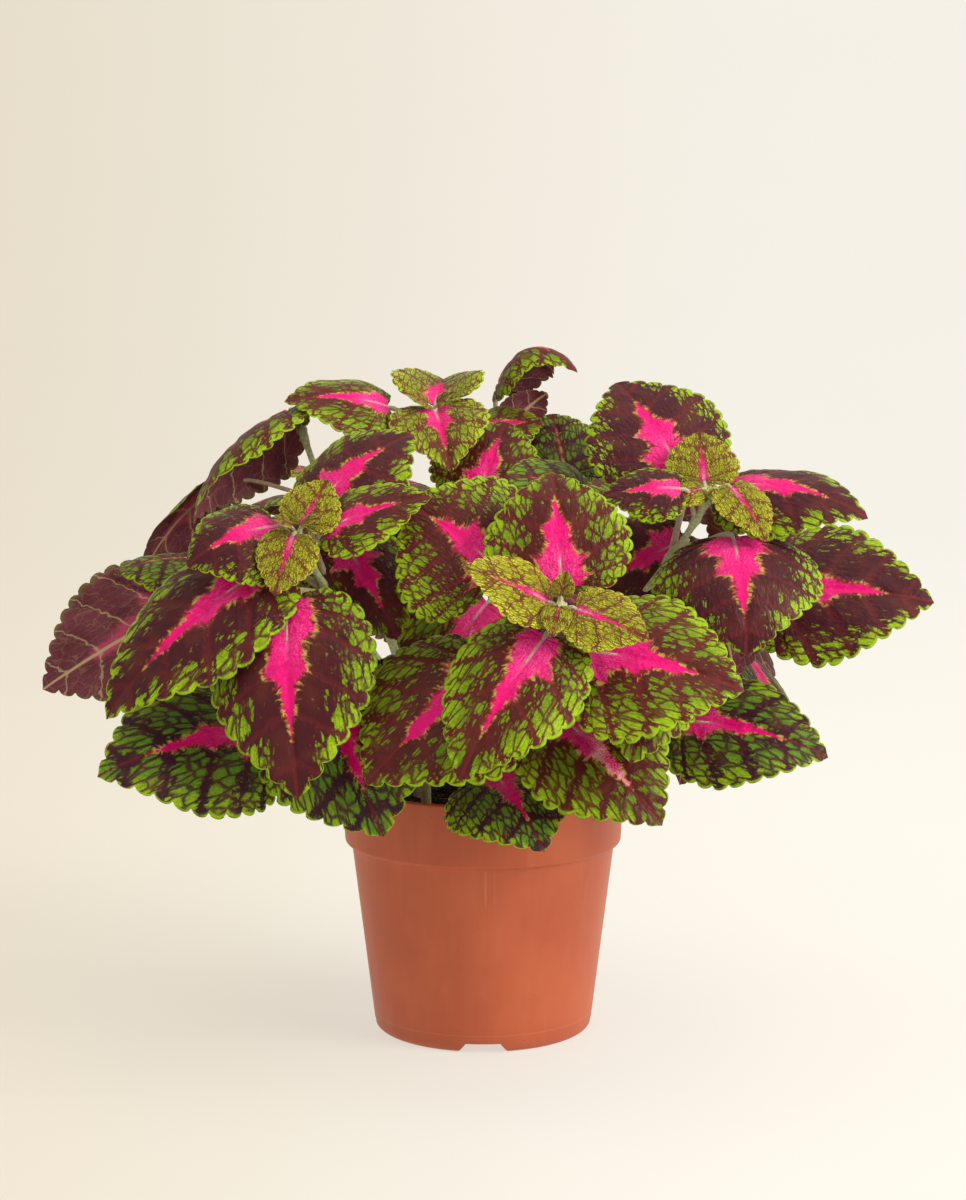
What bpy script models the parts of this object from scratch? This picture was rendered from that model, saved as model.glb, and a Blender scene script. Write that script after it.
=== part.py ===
"""Potted coleus: twelve leafy stems in a terracotta coloured plastic pot.

Sizes are in millimetres and become metres where the meshes are made. +Z is up, the origin is on the
pot's axis at the surface that it stands on, and the plant's front faces -Y.
"""
import math
import random

import bmesh
import bpy
import numpy as np
from mathutils import Vector
from mathutils.bvhtree import BVHTree
from mathutils.geometry import delaunay_2d_cdt

MM = 0.001
MERGE = 2e-6
SHARP_ANGLE = 40
GAP = 0.3

# Pot
HEIGHT = 108.0
RIM_R = 60.0
RIM_WALL = 1.8
LIP_ROUND = 1.0
BAND_LOW = 81.0
BAND_R = 59.0
NECK_R = 56.2
BASE_R = 46.6
WALL = 1.6
FOOT_ROUND = 3.4
FOOT_IN_R = 40.8
FLOOR_LOW = 5.2
POT_SIDES = 32
NOTCHES = 4
NOTCH_LOW = 20.5
NOTCH_HIGH = 14.5
NOTCH_RISE = 4.1
DRAIN_R = 4.2
DRAIN_CIRCLE = 28.0
DRAIN_SIDES = 8

# Soil and stems
SOIL_TOP = 97.0
SOIL_SIDES = 24
HOLE_SIDES = 5
STEM_SUNK = 15.0
STEM_RADIUS = 2.4
STEM_TIP_RADIUS = 1.3
STEM_SIDES = 4
STEM_RINGS = 7
SHORT_STALK = 10.0

# Leaf blades. The outline of a half blade runs x along the midrib and y across it, as shares of the
# blade's length and half width, on two cubic curves that meet at its widest point.
BLADE = 0.8
LOWER_EDGE = ((0.0, 0.05), (-0.10, 0.42), (-0.05, 0.98), (0.33, 1.0))
UPPER_EDGE = ((0.33, 1.0), (0.60, 1.01), (0.82, 0.40), (1.0, 0.0))
OUTLINE_SAMPLES = 200
HALF_ASPECT = 0.42
FIRST_TOOTH = 0.08
TOOTH_DEPTH = 0.05
CREST = 0.45
EDGE_WAVE = 0.02

# Clearance between stems: the margin round a leaf, the grid that it is tested on, and the point that
# the plant's front is seen from
MARGIN = 1.5
BUD_MARGIN = 0.9
TEST_ROWS = 14
TEST_COLUMNS = 5
EYE = np.array((0.0, -1196.0, 349.0))


def unit(v):
    return v / np.linalg.norm(v)


def bezier(points, t):
    p = [np.asarray(q, float) for q in points]
    t = np.asarray(t, float)[..., None]
    u = 1.0 - t
    return u**3 * p[0] + 3 * u**2 * t * p[1] + 3 * u * t**2 * p[2] + t**3 * p[3]


def turned(v, axis, degrees):
    a = math.radians(degrees)
    axis = unit(axis)
    return v * math.cos(a) + np.cross(axis, v) * math.sin(a) + axis * (axis @ v) * (1 - math.cos(a))


def facing(azimuth, elevation):
    """Direction by its azimuth from the front (-Y) towards +X, and its elevation, in degrees."""
    a, e = math.radians(azimuth), math.radians(elevation)
    return np.array([math.sin(a) * math.cos(e), -math.cos(a) * math.cos(e), math.sin(e)])


def outline_table():
    """Smooth outline of a half blade, with each point's share of the way from stalk to tip."""
    t = np.linspace(0.0, 1.0, OUTLINE_SAMPLES)
    pts = np.vstack([bezier(LOWER_EDGE, t), bezier(UPPER_EDGE, t)[1:]])
    steps = np.diff(pts, axis=0) * (1.0, HALF_ASPECT)
    way = np.concatenate([[0.0], np.cumsum(np.hypot(steps[:, 0], steps[:, 1]))])
    return way / way[-1], pts


OUTLINE = outline_table()


def smooth_edge(s):
    way, pts = OUTLINE
    return np.stack([np.interp(s, way, pts[:, 0]), np.interp(s, way, pts[:, 1])], axis=-1)


def edge(s, teeth, depth, grow=0.0):
    """Scalloped outline at shares s: rounded teeth stand out of the smooth one, and fade at the tip."""
    s = np.asarray(s, float)
    ahead, behind = smooth_edge(np.clip(s + 0.01, 0, 1)), smooth_edge(np.clip(s - 0.01, 0, 1))
    d = (ahead - behind) * (1.0, HALF_ASPECT)
    n = np.stack([-d[..., 1], d[..., 0]], axis=-1)
    n = n / np.maximum(np.linalg.norm(n, axis=-1, keepdims=True), 1e-9)
    n = np.where(n[..., 1:2] < 0, -n, n)
    count = (s - FIRST_TOOTH) / (1.0 - FIRST_TOOTH) * teeth
    phase = count - np.floor(count)
    bump = np.where(count > 0, np.sin(np.pi * phase**0.85) ** 0.6, 0.4)
    fade = np.clip((1.0 - s) / 0.06, 0.0, 1.0)
    out = depth * (bump - 0.45) * fade + grow
    return smooth_edge(s) + n * out[..., None] / (1.0, HALF_ASPECT)


class Stem:
    """A stem from its foot on the soil, first upright and then leaning out to its apex."""

    def __init__(self, foot, apex):
        self.foot = np.array((*foot, SOIL_TOP), float)
        self.apex = np.array(apex, float)
        rise = self.apex - self.foot
        out = unit(rise * (1.0, 1.0, 1.1))
        reach = np.linalg.norm(rise)
        self.curve = (self.foot + (0, 0, 6.0), self.foot + (0, 0, 0.45 * rise[2]),
                      self.apex - out * 0.35 * reach, self.apex)
        self.t = np.linspace(0, 1, 80)
        steps = np.diff(bezier(self.curve, self.t), axis=0)
        self.way = np.concatenate([[0.0], np.cumsum(np.linalg.norm(steps, axis=1))])

    def at(self, below, share):
        """Point and direction at a distance below the apex, no deeper than a share of the stem."""
        length = self.way[-1]
        t = np.interp(length - min(below, length * share), self.way, self.t)
        ahead, behind = bezier(self.curve, min(t + 0.02, 1)), bezier(self.curve, max(t - 0.02, 0))
        return bezier(self.curve, t), unit(ahead - behind)


class Leaf:
    """A leaf: the point where its stalk leaves the stem, and a blade arched along its midrib."""

    def __init__(self, shoot, joint, base, tip, width, face, arch, fold, curl, twist, age, seed, seen):
        self.shoot, self.joint = shoot, np.asarray(joint, float)
        self.base, self.tip = np.asarray(base, float), np.asarray(tip, float)
        self.width, self.face = width, np.asarray(face, float)
        self.arch, self.fold, self.curl, self.twist = arch, fold, curl, twist
        self.age, self.seed, self.seen = age, seed, seen
        self.shape()

    def shape(self):
        """Works out the midrib's curve and the blade's sideways direction."""
        c = self.tip - self.base
        chord = np.linalg.norm(c)
        along = c / chord
        up = unit(self.face - along * (self.face @ along))
        self.side = np.cross(along, up)
        lift = up * self.arch * chord
        self.rib = (self.base, self.base + 0.30 * c + lift, self.base + 0.76 * c + lift, self.tip)
        self.t = np.linspace(0, 1, 80)
        steps = np.diff(bezier(self.rib, self.t), axis=0)
        way = np.concatenate([[0.0], np.cumsum(np.linalg.norm(steps, axis=1))])
        self.length = way[-1]
        self.way = way / way[-1]

    def rib_frame(self, x):
        """Points along the midrib with their directions along, sideways and up."""
        x = np.asarray(x, float)
        t = np.interp(x, self.way, self.t)
        ahead, behind = bezier(self.rib, np.clip(t + 0.01, 0, 1)), bezier(self.rib, np.clip(t - 0.01, 0, 1))
        along = (ahead - behind) / np.linalg.norm(ahead - behind, axis=-1, keepdims=True)
        past = np.minimum(x, 0.0) + np.maximum(x - 1.0, 0.0)
        p = bezier(self.rib, t) + along * (past * self.length)[..., None]
        side = np.broadcast_to(self.side, p.shape)
        up = np.cross(side, along)
        turn = np.radians(self.twist) * x
        c, s = np.cos(turn)[..., None], np.sin(turn)[..., None]
        return p, along, side * c + up * s, up * c - side * s

    def place(self, x, y):
        """Middle of the blade and its upward normal at x along and y across, both as shares."""
        x, y = np.asarray(x, float), np.asarray(y, float)
        p, _, side, up = self.rib_frame(x)
        half, across, sign = self.width / 2, np.abs(y), np.sign(y)
        fold, curl = math.radians(self.fold), math.radians(self.curl)
        slope = fold + curl * across
        out = half * (np.sin(slope) - math.sin(fold)) / curl
        rise = half * (math.cos(fold) - np.cos(slope)) / curl
        wave = np.sin(2 * np.pi * (1.6 * x + 0.37 * self.seed) + np.where(y > 0, 0.0, 2.0))
        rise = rise + EDGE_WAVE * self.width * across**2 * wave
        middle = p + side * (out * sign)[..., None] + up * rise[..., None]
        normal = up * np.cos(slope)[..., None] - side * (np.sin(slope) * sign)[..., None]
        return middle, normal

    def stalk_radius(self):
        return 0.6 + 0.8 * min(self.width / 60, 1)

    def stalk_curve(self):
        """From the blade, in line with its midrib, round to the middle of the stem."""
        _, along, _, _ = self.rib_frame(np.array([0.0]))
        gap = self.base - self.joint
        reach = np.linalg.norm(gap)
        out = unit(gap)
        return self.base, self.base - along[0] * 0.35 * reach, self.joint + out * 0.4 * reach, self.joint


# Every leaf that shows from the front, by stem: the pair it belongs to, base and tip of its blade,
# width, the azimuth and elevation that its upper side faces, arch, fold, curl, twist and age (0 to 1).
SEEN = {
    "front": dict(foot=(8, -26), apex=(30, -119, 199), heading=0, pairs=(), leaves=[
        (0, (30, -117, 202), (32, -116, 212), 9, 0, 30, 0.10, 15, -20, 0, 0.0),
        (0, (29, -122, 199), (26, -129, 188), 12, 0, 35, 0.10, 10, -30, 0, 0.05),
        (1, (26, -120, 200), (-8, -122, 214), 31, 0, 45, 0.06, 4, -25, 0, 0.2),
        (1, (35, -120, 198), (63, -128, 187), 31, 0, 45, 0.06, 4, -25, 0, 0.2),
        (2, (30, -114, 205), (27, -80, 246), 58, 0, 42, 0.22, 4, -25, 0, 0.55),
        (2, (24, -118, 187), (-9, -143, 135), 56, -10, 38, 0.12, 6, -35, 0, 0.5),
        (3, (38, -108, 180), (100, -122, 166), 70, 10, 38, 0.10, 4, -30, 0, 0.6),
        (3, (4, -100, 172), (-45, -120, 129), 76, -15, 40, 0.10, 4, -30, 0, 0.75),
        (4, (28, -82, 152), (70, -106, 110), 62, 10, 30, 0.10, 4, -25, 0, 0.9),
        (4, (4, -72, 124), (24, -104, 99), 56, 0, 40, 0.20, 6, -35, 0, 1.0),
    ]),
    "left": dict(foot=(-24, -20), apex=(-73, -88, 223), heading=0, pairs=(), leaves=[
        (0, (-75, -90, 226), (-83, -93, 229), 8, 0, 60, 0.20, 15, -20, 0, 0.05),
        (0, (-71, -91, 226), (-63, -94, 229), 8, 0, 60, 0.20, 15, -20, 0, 0.05),
        (1, (-71, -88, 226), (-61, -76, 243), 25, 0, 35, 0.08, 6, -25, 0, 0.2),
        (1, (-74, -91, 223), (-81, -101, 200), 25, 0, 30, 0.10, 6, -30, 0, 0.2),
        (2, (-82, -80, 225), (-116, -90, 210), 48, -15, 38, 0.20, -2, -40, 0, 0.5),
        (2, (-62, -84, 224), (-20, -88, 237), 36, 0, 50, 0.10, 6, -35, 0, 0.4),
        (3, (-66, -72, 232), (-28, -44, 258), 56, -20, 45, 0.15, 4, -45, 0, 0.65),
        (3, (-77, -92, 197), (-71, -122, 124), 70, -12, 25, 0.10, 6, -40, 0, 0.7),
        (3, (-86, -70, 208), (-148, -94, 150), 62, -25, 40, 0.12, 8, -40, 0, 0.8),
        (3, (-56, -60, 216), (-34, -84, 180), 50, 10, 35, 0.12, 6, -40, 0, 0.8),
        (4, (-90, -60, 137), (-152, -94, 127), 70, -10, 35, 0.18, 4, -35, 0, 1.0),
        (4, (-62, -58, 158), (-39, -98, 104), 82, -30, 42, 0.12, 4, -30, 0, 1.0),
    ]),
    "right": dict(foot=(26, -16), apex=(91, -60, 236), heading=10, pairs=(4,), leaves=[
        (0, (88, -61, 238), (73, -66, 231), 14, 0, 50, 0.15, 4, -30, 0, 0.1),
        (0, (93, -62, 238), (100, -69, 231), 12, 20, 50, 0.15, 4, -30, 0, 0.1),
        (1, (89, -56, 240), (88, -38, 259), 30, 0, 38, 0.08, 6, -25, 0, 0.2),
        (1, (99, -62, 239), (112, -76, 218), 24, 20, 40, 0.12, 10, -35, 0, 0.2),
        (2, (79, -60, 238), (47, -68, 235), 32, 0, 50, 0.10, 4, -40, 0, 0.45),
        (2, (97, -54, 238), (154, -64, 226), 50, 10, 52, 0.18, -4, -40, 0, 0.5),
        (3, (80, -42, 244), (55, -10, 277), 64, 10, 35, 0.12, 6, -30, 0, 0.7),
        (3, (100, -66, 219), (103, -98, 176), 74, 0, 35, 0.22, 2, -45, 0, 0.75),
        (3, (116, -24, 192), (186, -34, 188), 72, 10, 42, 0.10, 6, -25, 0, 0.8),
        (3, (82, -36, 214), (46, -34, 192), 50, -15, 35, 0.12, 6, -35, 0, 0.8),
        (4, (94, -34, 206), (102, -56, 160), 56, 170, 5, 0.10, 6, -25, 0, 0.8),
        (4, (79, -52, 142), (139, -70, 130), 56, 10, 40, 0.15, 6, -35, 0, 1.0),
    ]),
    "middle": dict(foot=(12, 0), apex=(16, -48, 224), heading=0, pairs=(), leaves=[
        (2, (35, -10, 237), (29, 20, 262), 44, 0, 45, 0.12, 8, -35, 0, 0.95),
        (2, (42, -30, 234), (8, -36, 240), 40, 0, 50, 0.12, 4, -45, 0, 0.95),
        (3, (6, -88, 209), (-31, -76, 234), 72, -5, 38, 0.12, 6, -35, 0, 0.65),
        (3, (-2, -30, 232), (10, 0, 260), 50, 0, 40, 0.12, 6, -35, 0, 0.7),
        (4, (2, -44, 190), (-26, -62, 148), 58, -10, 35, 0.12, 6, -35, 0, 0.9),
    ]),
    "crown": dict(foot=(-8, 8), apex=(-21, -3, 266), heading=110, pairs=(3,), leaves=[
        (0, (-23, -6, 268), (-34, -9, 273), 10, 0, 60, 0.10, 12, -20, 0, 0.05),
        (0, (-19, -6, 268), (-12, -8, 273), 9, 0, 60, 0.10, 12, -20, 0, 0.05),
        (1, (-20, -8, 266), (-13, -34, 242), 42, 0, 35, 0.10, 20, -30, 0, 0.35),
        (1, (-20, 2, 267), (-17, 32, 276), 42, 0, 70, 0.10, 30, -15, 0, 0.35),
        (2, (-40, -2, 267), (-83, -8, 269), 42, 0, 58, 0.12, 6, -40, 0, 0.55),
        (2, (-2, 2, 256), (26, 16, 258), 40, 10, 60, 0.12, 6, -40, 0, 0.7),
    ]),
    "peak": dict(foot=(6, 20), apex=(6, 22, 258), heading=70, pairs=(3,), leaves=[
        (1, (6, 22, 272), (40, 12, 280), 42, -118, 45, 0.50, -8, -70, 0, 0.7),
        (1, (10, 26, 254), (28, 36, 270), 24, 150, 40, 0.20, 6, -45, 0, 0.75),
        (2, (4, 8, 246), (14, 2, 262), 26, 0, 40, 0.15, 6, -40, 0, 0.95),
        (2, (8, 34, 252), (12, 68, 258), 42, 180, 60, 0.18, 6, -40, 0, 0.7),
    ]),
    "side": dict(foot=(-28, 8), apex=(-76, -4, 258), heading=170, pairs=(3,), leaves=[
        (0, (-76, -4, 259), (-78, -4, 268), 8, 0, 30, 0.10, 12, -20, 0, 0.1),
        (1, (-78, -8, 266), (-119, -34, 220), 58, -118, 42, 0.20, -8, -70, 0, 0.7),
        (3, (-113, 4, 232), (-143, -8, 196), 34, -140, 25, 0.15, 0, -60, 0, 0.8),
        (3, (-114, -40, 207), (-150, -50, 202), 44, 0, 70, 0.12, 0, -70, 0, 0.95),
        (4, (-124, -28, 186), (-182, -36, 152), 60, 170, 20, 0.10, 8, -25, 0, 0.85),
    ]),
}

# Stems at the back and sides: foot, apex, heading of the outer side in degrees from +X, their pairs.
HIDDEN = {
    "back": dict(foot=(6, 40), apex=(2, 108, 222), heading=90, pairs=(1, 2, 3, 4), leaves=[]),
    "back_left": dict(foot=(-24, 30), apex=(-74, 70, 234), heading=135, pairs=(1, 2, 3, 4), leaves=[]),
    "back_right": dict(foot=(28, 30), apex=(84, 66, 226), heading=45, pairs=(1, 2, 3, 4), leaves=[]),
    "far_left": dict(foot=(-42, 14), apex=(-104, 40, 196), heading=160, pairs=(1, 2, 3), leaves=[]),
    "far_right": dict(foot=(44, 12), apex=(114, 30, 200), heading=15, pairs=(1, 2, 3), leaves=[]),
}
SHOOTS = {**SEEN, **HIDDEN}

# A stem's pairs by rule: distance below the apex, length and width of a leaf, its rise in degrees on
# the outer and the inner side, length of its stalk, age, and the pair's two directions from the heading.
PAIRS = {
    1: (6, 36, 26, 20, 35, 4, 0.25, (15, 195)),
    2: (16, 54, 42, -10, 15, 10, 0.5, (-75, 105)),
    3: (36, 74, 60, -34, 0, 18, 0.75, (-40, 62)),
    4: (64, 80, 64, -46, -12, 24, 0.9, (-100, 15)),
}
JOINT_BELOW = (1, 4, 13, 32, 60)


def leaves_by_list(stems):
    leaves = []
    for shoot, rows in SHOOTS.items():
        for pair, base, tip, width, azimuth, elevation, arch, fold, curl, twist, age in rows["leaves"]:
            joint, _ = stems[shoot].at(JOINT_BELOW[pair], 0.7)
            leaves.append(Leaf(shoot, joint, base, tip, width, facing(azimuth, elevation), arch, fold, curl,
                               twist, age, len(leaves), True))
    return leaves


def leaves_by_rule(stems):
    rng = random.Random(7)
    leaves = []
    for shoot, rows in SHOOTS.items():
        for pair in rows["pairs"]:
            below, length, width, rise_out, rise_in, stalk, age, angles = PAIRS[pair]
            joint, direction = stems[shoot].at(below, 0.75)
            lean = unit(direction * 0.6 + (0.0, 0.0, 0.5))
            for angle in angles:
                way = math.radians(rows["heading"] + angle + rng.uniform(-12, 12))
                radial = np.array((math.cos(way), math.sin(way), 0.0))
                radial = unit(radial - lean * (radial @ lean))
                outer = 0.5 + 0.5 * math.cos(math.radians(angle))
                rise = math.radians(rise_in + (rise_out - rise_in) * outer + rng.uniform(-6, 6))
                v = radial * math.cos(rise) + lean * math.sin(rise)
                base = joint + stalk * unit(v + lean * 0.4)
                size = rng.uniform(0.92, 1.06)
                tip = base + v * length * size * 0.93
                leaves.append(Leaf(shoot, joint, base, tip, width * size, lean, rng.uniform(0.10, 0.20),
                                   rng.uniform(-2, 8), rng.uniform(-45, -28), rng.uniform(-8, 8), age,
                                   100 + len(leaves), False))
    return leaves


def skin(rings):
    """Closed tube through rings of points, with a flat cap at each end."""
    count, sides = rings.shape[:2]
    faces = [tuple(range(sides))[::-1], tuple((count - 1) * sides + j for j in range(sides))]
    for i in range(count - 1):
        for j in range(sides):
            k = (j + 1) % sides
            faces.append((i * sides + j, i * sides + k, (i + 1) * sides + k, (i + 1) * sides + j))
    return rings.reshape(-1, 3), faces


def tube_rings(curve, start_radius, end_radius, rings, sides):
    t = np.linspace(0, 1, rings)
    centre = bezier(curve, t)
    along = bezier(curve, np.clip(t + 0.02, 0, 1)) - bezier(curve, np.clip(t - 0.02, 0, 1))
    along /= np.linalg.norm(along, axis=1, keepdims=True)
    across = (0.3, 1.0, 0.2) if abs(along[0][1]) < 0.8 else (1.0, 0.2, 0.3)
    a = np.cross(along, across)
    a /= np.linalg.norm(a, axis=1, keepdims=True)
    b = np.cross(along, a)
    w = (2 * np.pi * np.arange(sides) / sides)[None, :, None]
    r = (start_radius + (end_radius - start_radius) * t)[:, None, None]
    return centre[:, None] + r * (np.cos(w) * a[:, None] + np.sin(w) * b[:, None])


def turned_sheet(profile, sides):
    verts = [(r * math.cos(2 * math.pi * i / sides), r * math.sin(2 * math.pi * i / sides), z)
             for r, z in profile for i in range(sides)]
    faces = []
    for k in range(len(profile) - 1):
        for i in range(sides):
            n = (i + 1) % sides
            faces.append((k * sides + i, k * sides + n, (k + 1) * sides + n, (k + 1) * sides + i))
    return verts, faces


def sheet(leaf, offset, grow):
    """Coarse grid of a blade, raised along its normal and grown round its edge, in mm."""
    e = edge(np.linspace(0, 1, TEST_ROWS), 1, 0.0, grow / leaf.length)
    j = np.linspace(0, 1, TEST_COLUMNS)
    verts, faces = [], []
    for sign in (1, -1):
        rib = np.clip(e[:, 0] - 0.2 * e[:, 1], 0, 1)
        x = rib[:, None] + (e[:, 0] - rib)[:, None] * j[None]
        y = e[:, 1][:, None] * j[None] * sign
        p, n = leaf.place(x, y)
        start = len(verts)
        verts.extend((p + n * offset).reshape(-1, 3))
        for a in range(TEST_ROWS - 1):
            for b in range(TEST_COLUMNS - 1):
                k = start + a * TEST_COLUMNS + b
                faces.append((k, k + 1, k + TEST_COLUMNS + 1, k + TEST_COLUMNS))
    return verts, faces


def tree(parts):
    verts, faces = [], []
    for part_verts, part_faces in parts:
        start = len(verts)
        verts.extend(tuple(p) for p in part_verts)
        faces.extend(tuple(i + start for i in f) for f in part_faces)
    return BVHTree.FromPolygons(verts, faces)


class Space:
    """What a leaf, a stem or the pot takes up: bare, and with a margin round it."""

    def __init__(self, shoot, bare, wide):
        self.shoot = shoot
        points = np.array([p for verts, _ in wide for p in verts])
        self.low, self.high = points.min(axis=0), points.max(axis=0)
        self.bare, self.wide, self.blade = tree(bare), tree(wide), tree(bare[:1])

    def near(self, other):
        return bool((self.low <= other.high).all() and (other.low <= self.high).all())

    def meets(self, other):
        """True where this, with its margin, touches something of another stem, or the pot."""
        return self.shoot != other.shoot and self.near(other) and bool(self.wide.overlap(other.bare))

    def crosses(self, other):
        """True where this blade cuts through another blade of its own stem."""
        return self.shoot == other.shoot and self.near(other) and bool(self.blade.overlap(other.blade))


def leaf_space(leaf):
    margin = MARGIN if leaf.age > 0.1 else BUD_MARGIN
    r = leaf.stalk_radius()
    curve = leaf.stalk_curve()
    bare = [sheet(leaf, 0.0, 0.4), skin(tube_rings(curve, r, r, 6, 4))]
    wide = [sheet(leaf, offset, margin) for offset in (0.0, margin, -margin)]
    return Space(leaf.shoot, bare, wide + [skin(tube_rings(curve, r + margin, r + margin, 6, 5))])


def fixed_spaces(stems):
    """The pot's rim with the soil, and the stems, which no leaf of another stem may touch."""
    rim = [turned_sheet(((RIM_R + 1, 60), (RIM_R + 1, HEIGHT + 1), (RIM_R - 4, HEIGHT + 1),
                         (RIM_R - 4, SOIL_TOP + 2), (0.1, SOIL_TOP + 3)), 32)]
    spaces = [Space("pot", rim, rim)]
    for name, stem in stems.items():
        bare = skin(tube_rings(stem.curve, STEM_RADIUS, STEM_TIP_RADIUS, 16, 5))
        wide = skin(tube_rings(stem.curve, STEM_RADIUS + 1, STEM_TIP_RADIUS + 1, 16, 6))
        spaces.append(Space(name, [bare], [wide]))
    return spaces


# What a leaf may do to come clear. One that shows from the front moves in mm along the line of sight,
# with its base and tip leaning apart; another rises, swings (degrees) and shrinks.
SIGHT_STEPS = (0, -3, 3, -6, 6, -9, 9, -13, 13, -17, 17, -22, 22)
LEANS = ((0, 0), (5, -5), (-5, 5))
TURNS = ((0, 0, 1.0), (8, 0, 1.0), (-8, 0, 1.0), (0, 10, 1.0), (0, -10, 1.0), (16, 0, 1.0), (-16, 0, 1.0),
         (8, 14, 0.95), (8, -14, 0.95), (-8, 14, 0.95), (-8, -14, 0.95), (0, 22, 0.95), (0, -22, 0.95),
         (22, 0, 0.9), (-22, 0, 0.9), (14, 24, 0.85), (14, -24, 0.85), (-14, 24, 0.85), (-14, -24, 0.85),
         (0, 34, 0.8), (0, -34, 0.8), (28, 0, 0.75), (-28, 0, 0.75), (0, 0, 0.7), (12, 30, 0.7),
         (-12, 30, 0.7), (12, -30, 0.7), (-12, -30, 0.7), (0, 0, 0.55), (16, 0, 0.5), (-16, 0, 0.5))


def variants(leaf):
    """Puts the leaf in one place after another, the nearest to its own first."""
    base, tip, width, face = leaf.base.copy(), leaf.tip.copy(), leaf.width, leaf.face.copy()
    if leaf.seen:
        sight = unit((base + tip) / 2 - EYE)
        for step in SIGHT_STEPS:
            for lean_base, lean_tip in LEANS:
                leaf.base = base + sight * (step + lean_base)
                leaf.tip = tip + sight * (step + lean_tip)
                leaf.shape()
                yield
        return
    side = np.cross(unit(tip - base), unit(face))
    for rise, swing, scale in TURNS:
        stalk = turned(turned(base - leaf.joint, side, rise * 0.6), face, swing * 0.6)
        leaf.base = leaf.joint + stalk * scale
        leaf.tip = leaf.base + turned(turned(tip - base, side, rise), face, swing) * scale
        leaf.face = turned(face, side, rise)
        leaf.width = width * scale
        leaf.shape()
        yield


def come_clear(leaf, fixed, placed):
    """Moves the leaf clear of everything, or at least of other stems; False where it can't be."""
    start = leaf.base.copy(), leaf.tip.copy(), leaf.width, leaf.face.copy()
    for own_too in (True, False):
        for _ in variants(leaf):
            space = leaf_space(leaf)
            if any(space.meets(other) for other in fixed + placed):
                continue
            if own_too and any(space.crosses(other) for other in placed):
                continue
            placed.append(space)
            return True
        leaf.base, leaf.tip, leaf.width, leaf.face = start
        leaf.shape()
    return False


def make_layout():
    stems = {name: Stem(rows["foot"], rows["apex"]) for name, rows in SHOOTS.items()}
    leaves = leaves_by_list(stems) + leaves_by_rule(stems)
    fixed, placed = fixed_spaces(stems), []
    return stems, [leaf for leaf in leaves if come_clear(leaf, fixed, placed)]


def mesh_object(name, verts, faces):
    """Object from points in mm, with its faces turned outward."""
    mesh = bpy.data.meshes.new(name)
    mesh.from_pydata([tuple(c * MM for c in p) for p in verts], [], faces)
    bm = bmesh.new()
    bm.from_mesh(mesh)
    bmesh.ops.recalc_face_normals(bm, faces=bm.faces)
    bm.to_mesh(mesh)
    bm.free()
    obj = bpy.data.objects.new(name, mesh)
    bpy.context.scene.collection.objects.link(obj)
    return obj


def apply_boolean(obj, others, operation):
    """Joins or cuts with a collection of objects, applies it and removes them."""
    group = bpy.data.collections.new("tools")
    bpy.context.scene.collection.children.link(group)
    for other in others:
        bpy.context.scene.collection.objects.unlink(other)
        group.objects.link(other)
    boolean = obj.modifiers.new("join", "BOOLEAN")
    boolean.operand_type = "COLLECTION"
    boolean.collection = group
    boolean.operation = operation
    bpy.context.view_layer.update()
    joined = obj.evaluated_get(bpy.context.evaluated_depsgraph_get())
    mesh = bpy.data.meshes.new_from_object(joined)
    obj.modifiers.remove(boolean)
    obj.data = mesh
    for other in others:
        bpy.data.objects.remove(other)
    bpy.data.collections.remove(group)


def body_volume(faces):
    """Signed volume inside a closed set of triangles."""
    return sum(f.verts[0].co.dot(f.verts[1].co.cross(f.verts[2].co)) for f in faces) / 6


def linked_bodies(bm):
    todo, bodies = set(bm.faces), []
    while todo:
        stack, body = [todo.pop()], []
        while stack:
            face = stack.pop()
            body.append(face)
            near = {f for e in face.edges for f in e.link_faces} & todo
            todo -= near
            stack += near
        bodies.append(body)
    return bodies


def keep_main_body(obj):
    """Drops loose scraps and the walls of sealed hollows, and leaves the one main body."""
    bm = bmesh.new()
    bm.from_mesh(obj.data)
    bmesh.ops.triangulate(bm, faces=bm.faces)
    bmesh.ops.dissolve_degenerate(bm, dist=MERGE, edges=bm.edges)
    bmesh.ops.triangulate(bm, faces=bm.faces)
    bodies = sorted(linked_bodies(bm), key=body_volume)
    for body in bodies[:-1]:
        bmesh.ops.delete(bm, geom=body, context="FACES")
    loose = [v for v in bm.verts if not v.link_faces]
    bmesh.ops.delete(bm, geom=loose, context="VERTS")
    bm.to_mesh(obj.data)
    bm.free()


def finish(obj, colour, roughness):
    """The node's own material, and smooth shading between its sharp edges."""
    material = bpy.data.materials.new(obj.name)
    material.use_nodes = True
    shader = material.node_tree.nodes["Principled BSDF"]
    shader.inputs["Base Color"].default_value = (*colour, 1)
    shader.inputs["Roughness"].default_value = roughness
    shader.inputs["Metallic"].default_value = 0.0
    obj.data.materials.clear()
    obj.data.materials.append(material)
    obj.data.shade_smooth()
    obj.data.set_sharp_from_angle(angle=math.radians(SHARP_ANGLE))


def lathe(name, profile, sides):
    """Turned body about +Z: the profile runs from the axis below, outward and up, to the axis above."""
    verts, rings = [], []
    for r, z in profile:
        count = sides if r else 1
        rings.append([len(verts) + i % count for i in range(sides)])
        verts += [(r * math.cos(2 * math.pi * i / sides), r * math.sin(2 * math.pi * i / sides), z)
                  for i in range(count)]
    faces = []
    for low, high in zip(rings, rings[1:]):
        for i in range(sides):
            n = (i + 1) % sides
            faces.append(tuple(dict.fromkeys((low[i], low[n], high[n], high[i]))))
    return mesh_object(name, verts, faces)


def quarter(centre, radius, start, steps):
    """Points of a quarter round, counter-clockwise from the start angle in degrees."""
    for i in range(steps + 1):
        a = math.radians(start + 90 * i / steps)
        yield centre[0] + radius * math.cos(a), centre[1] + radius * math.sin(a)


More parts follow.
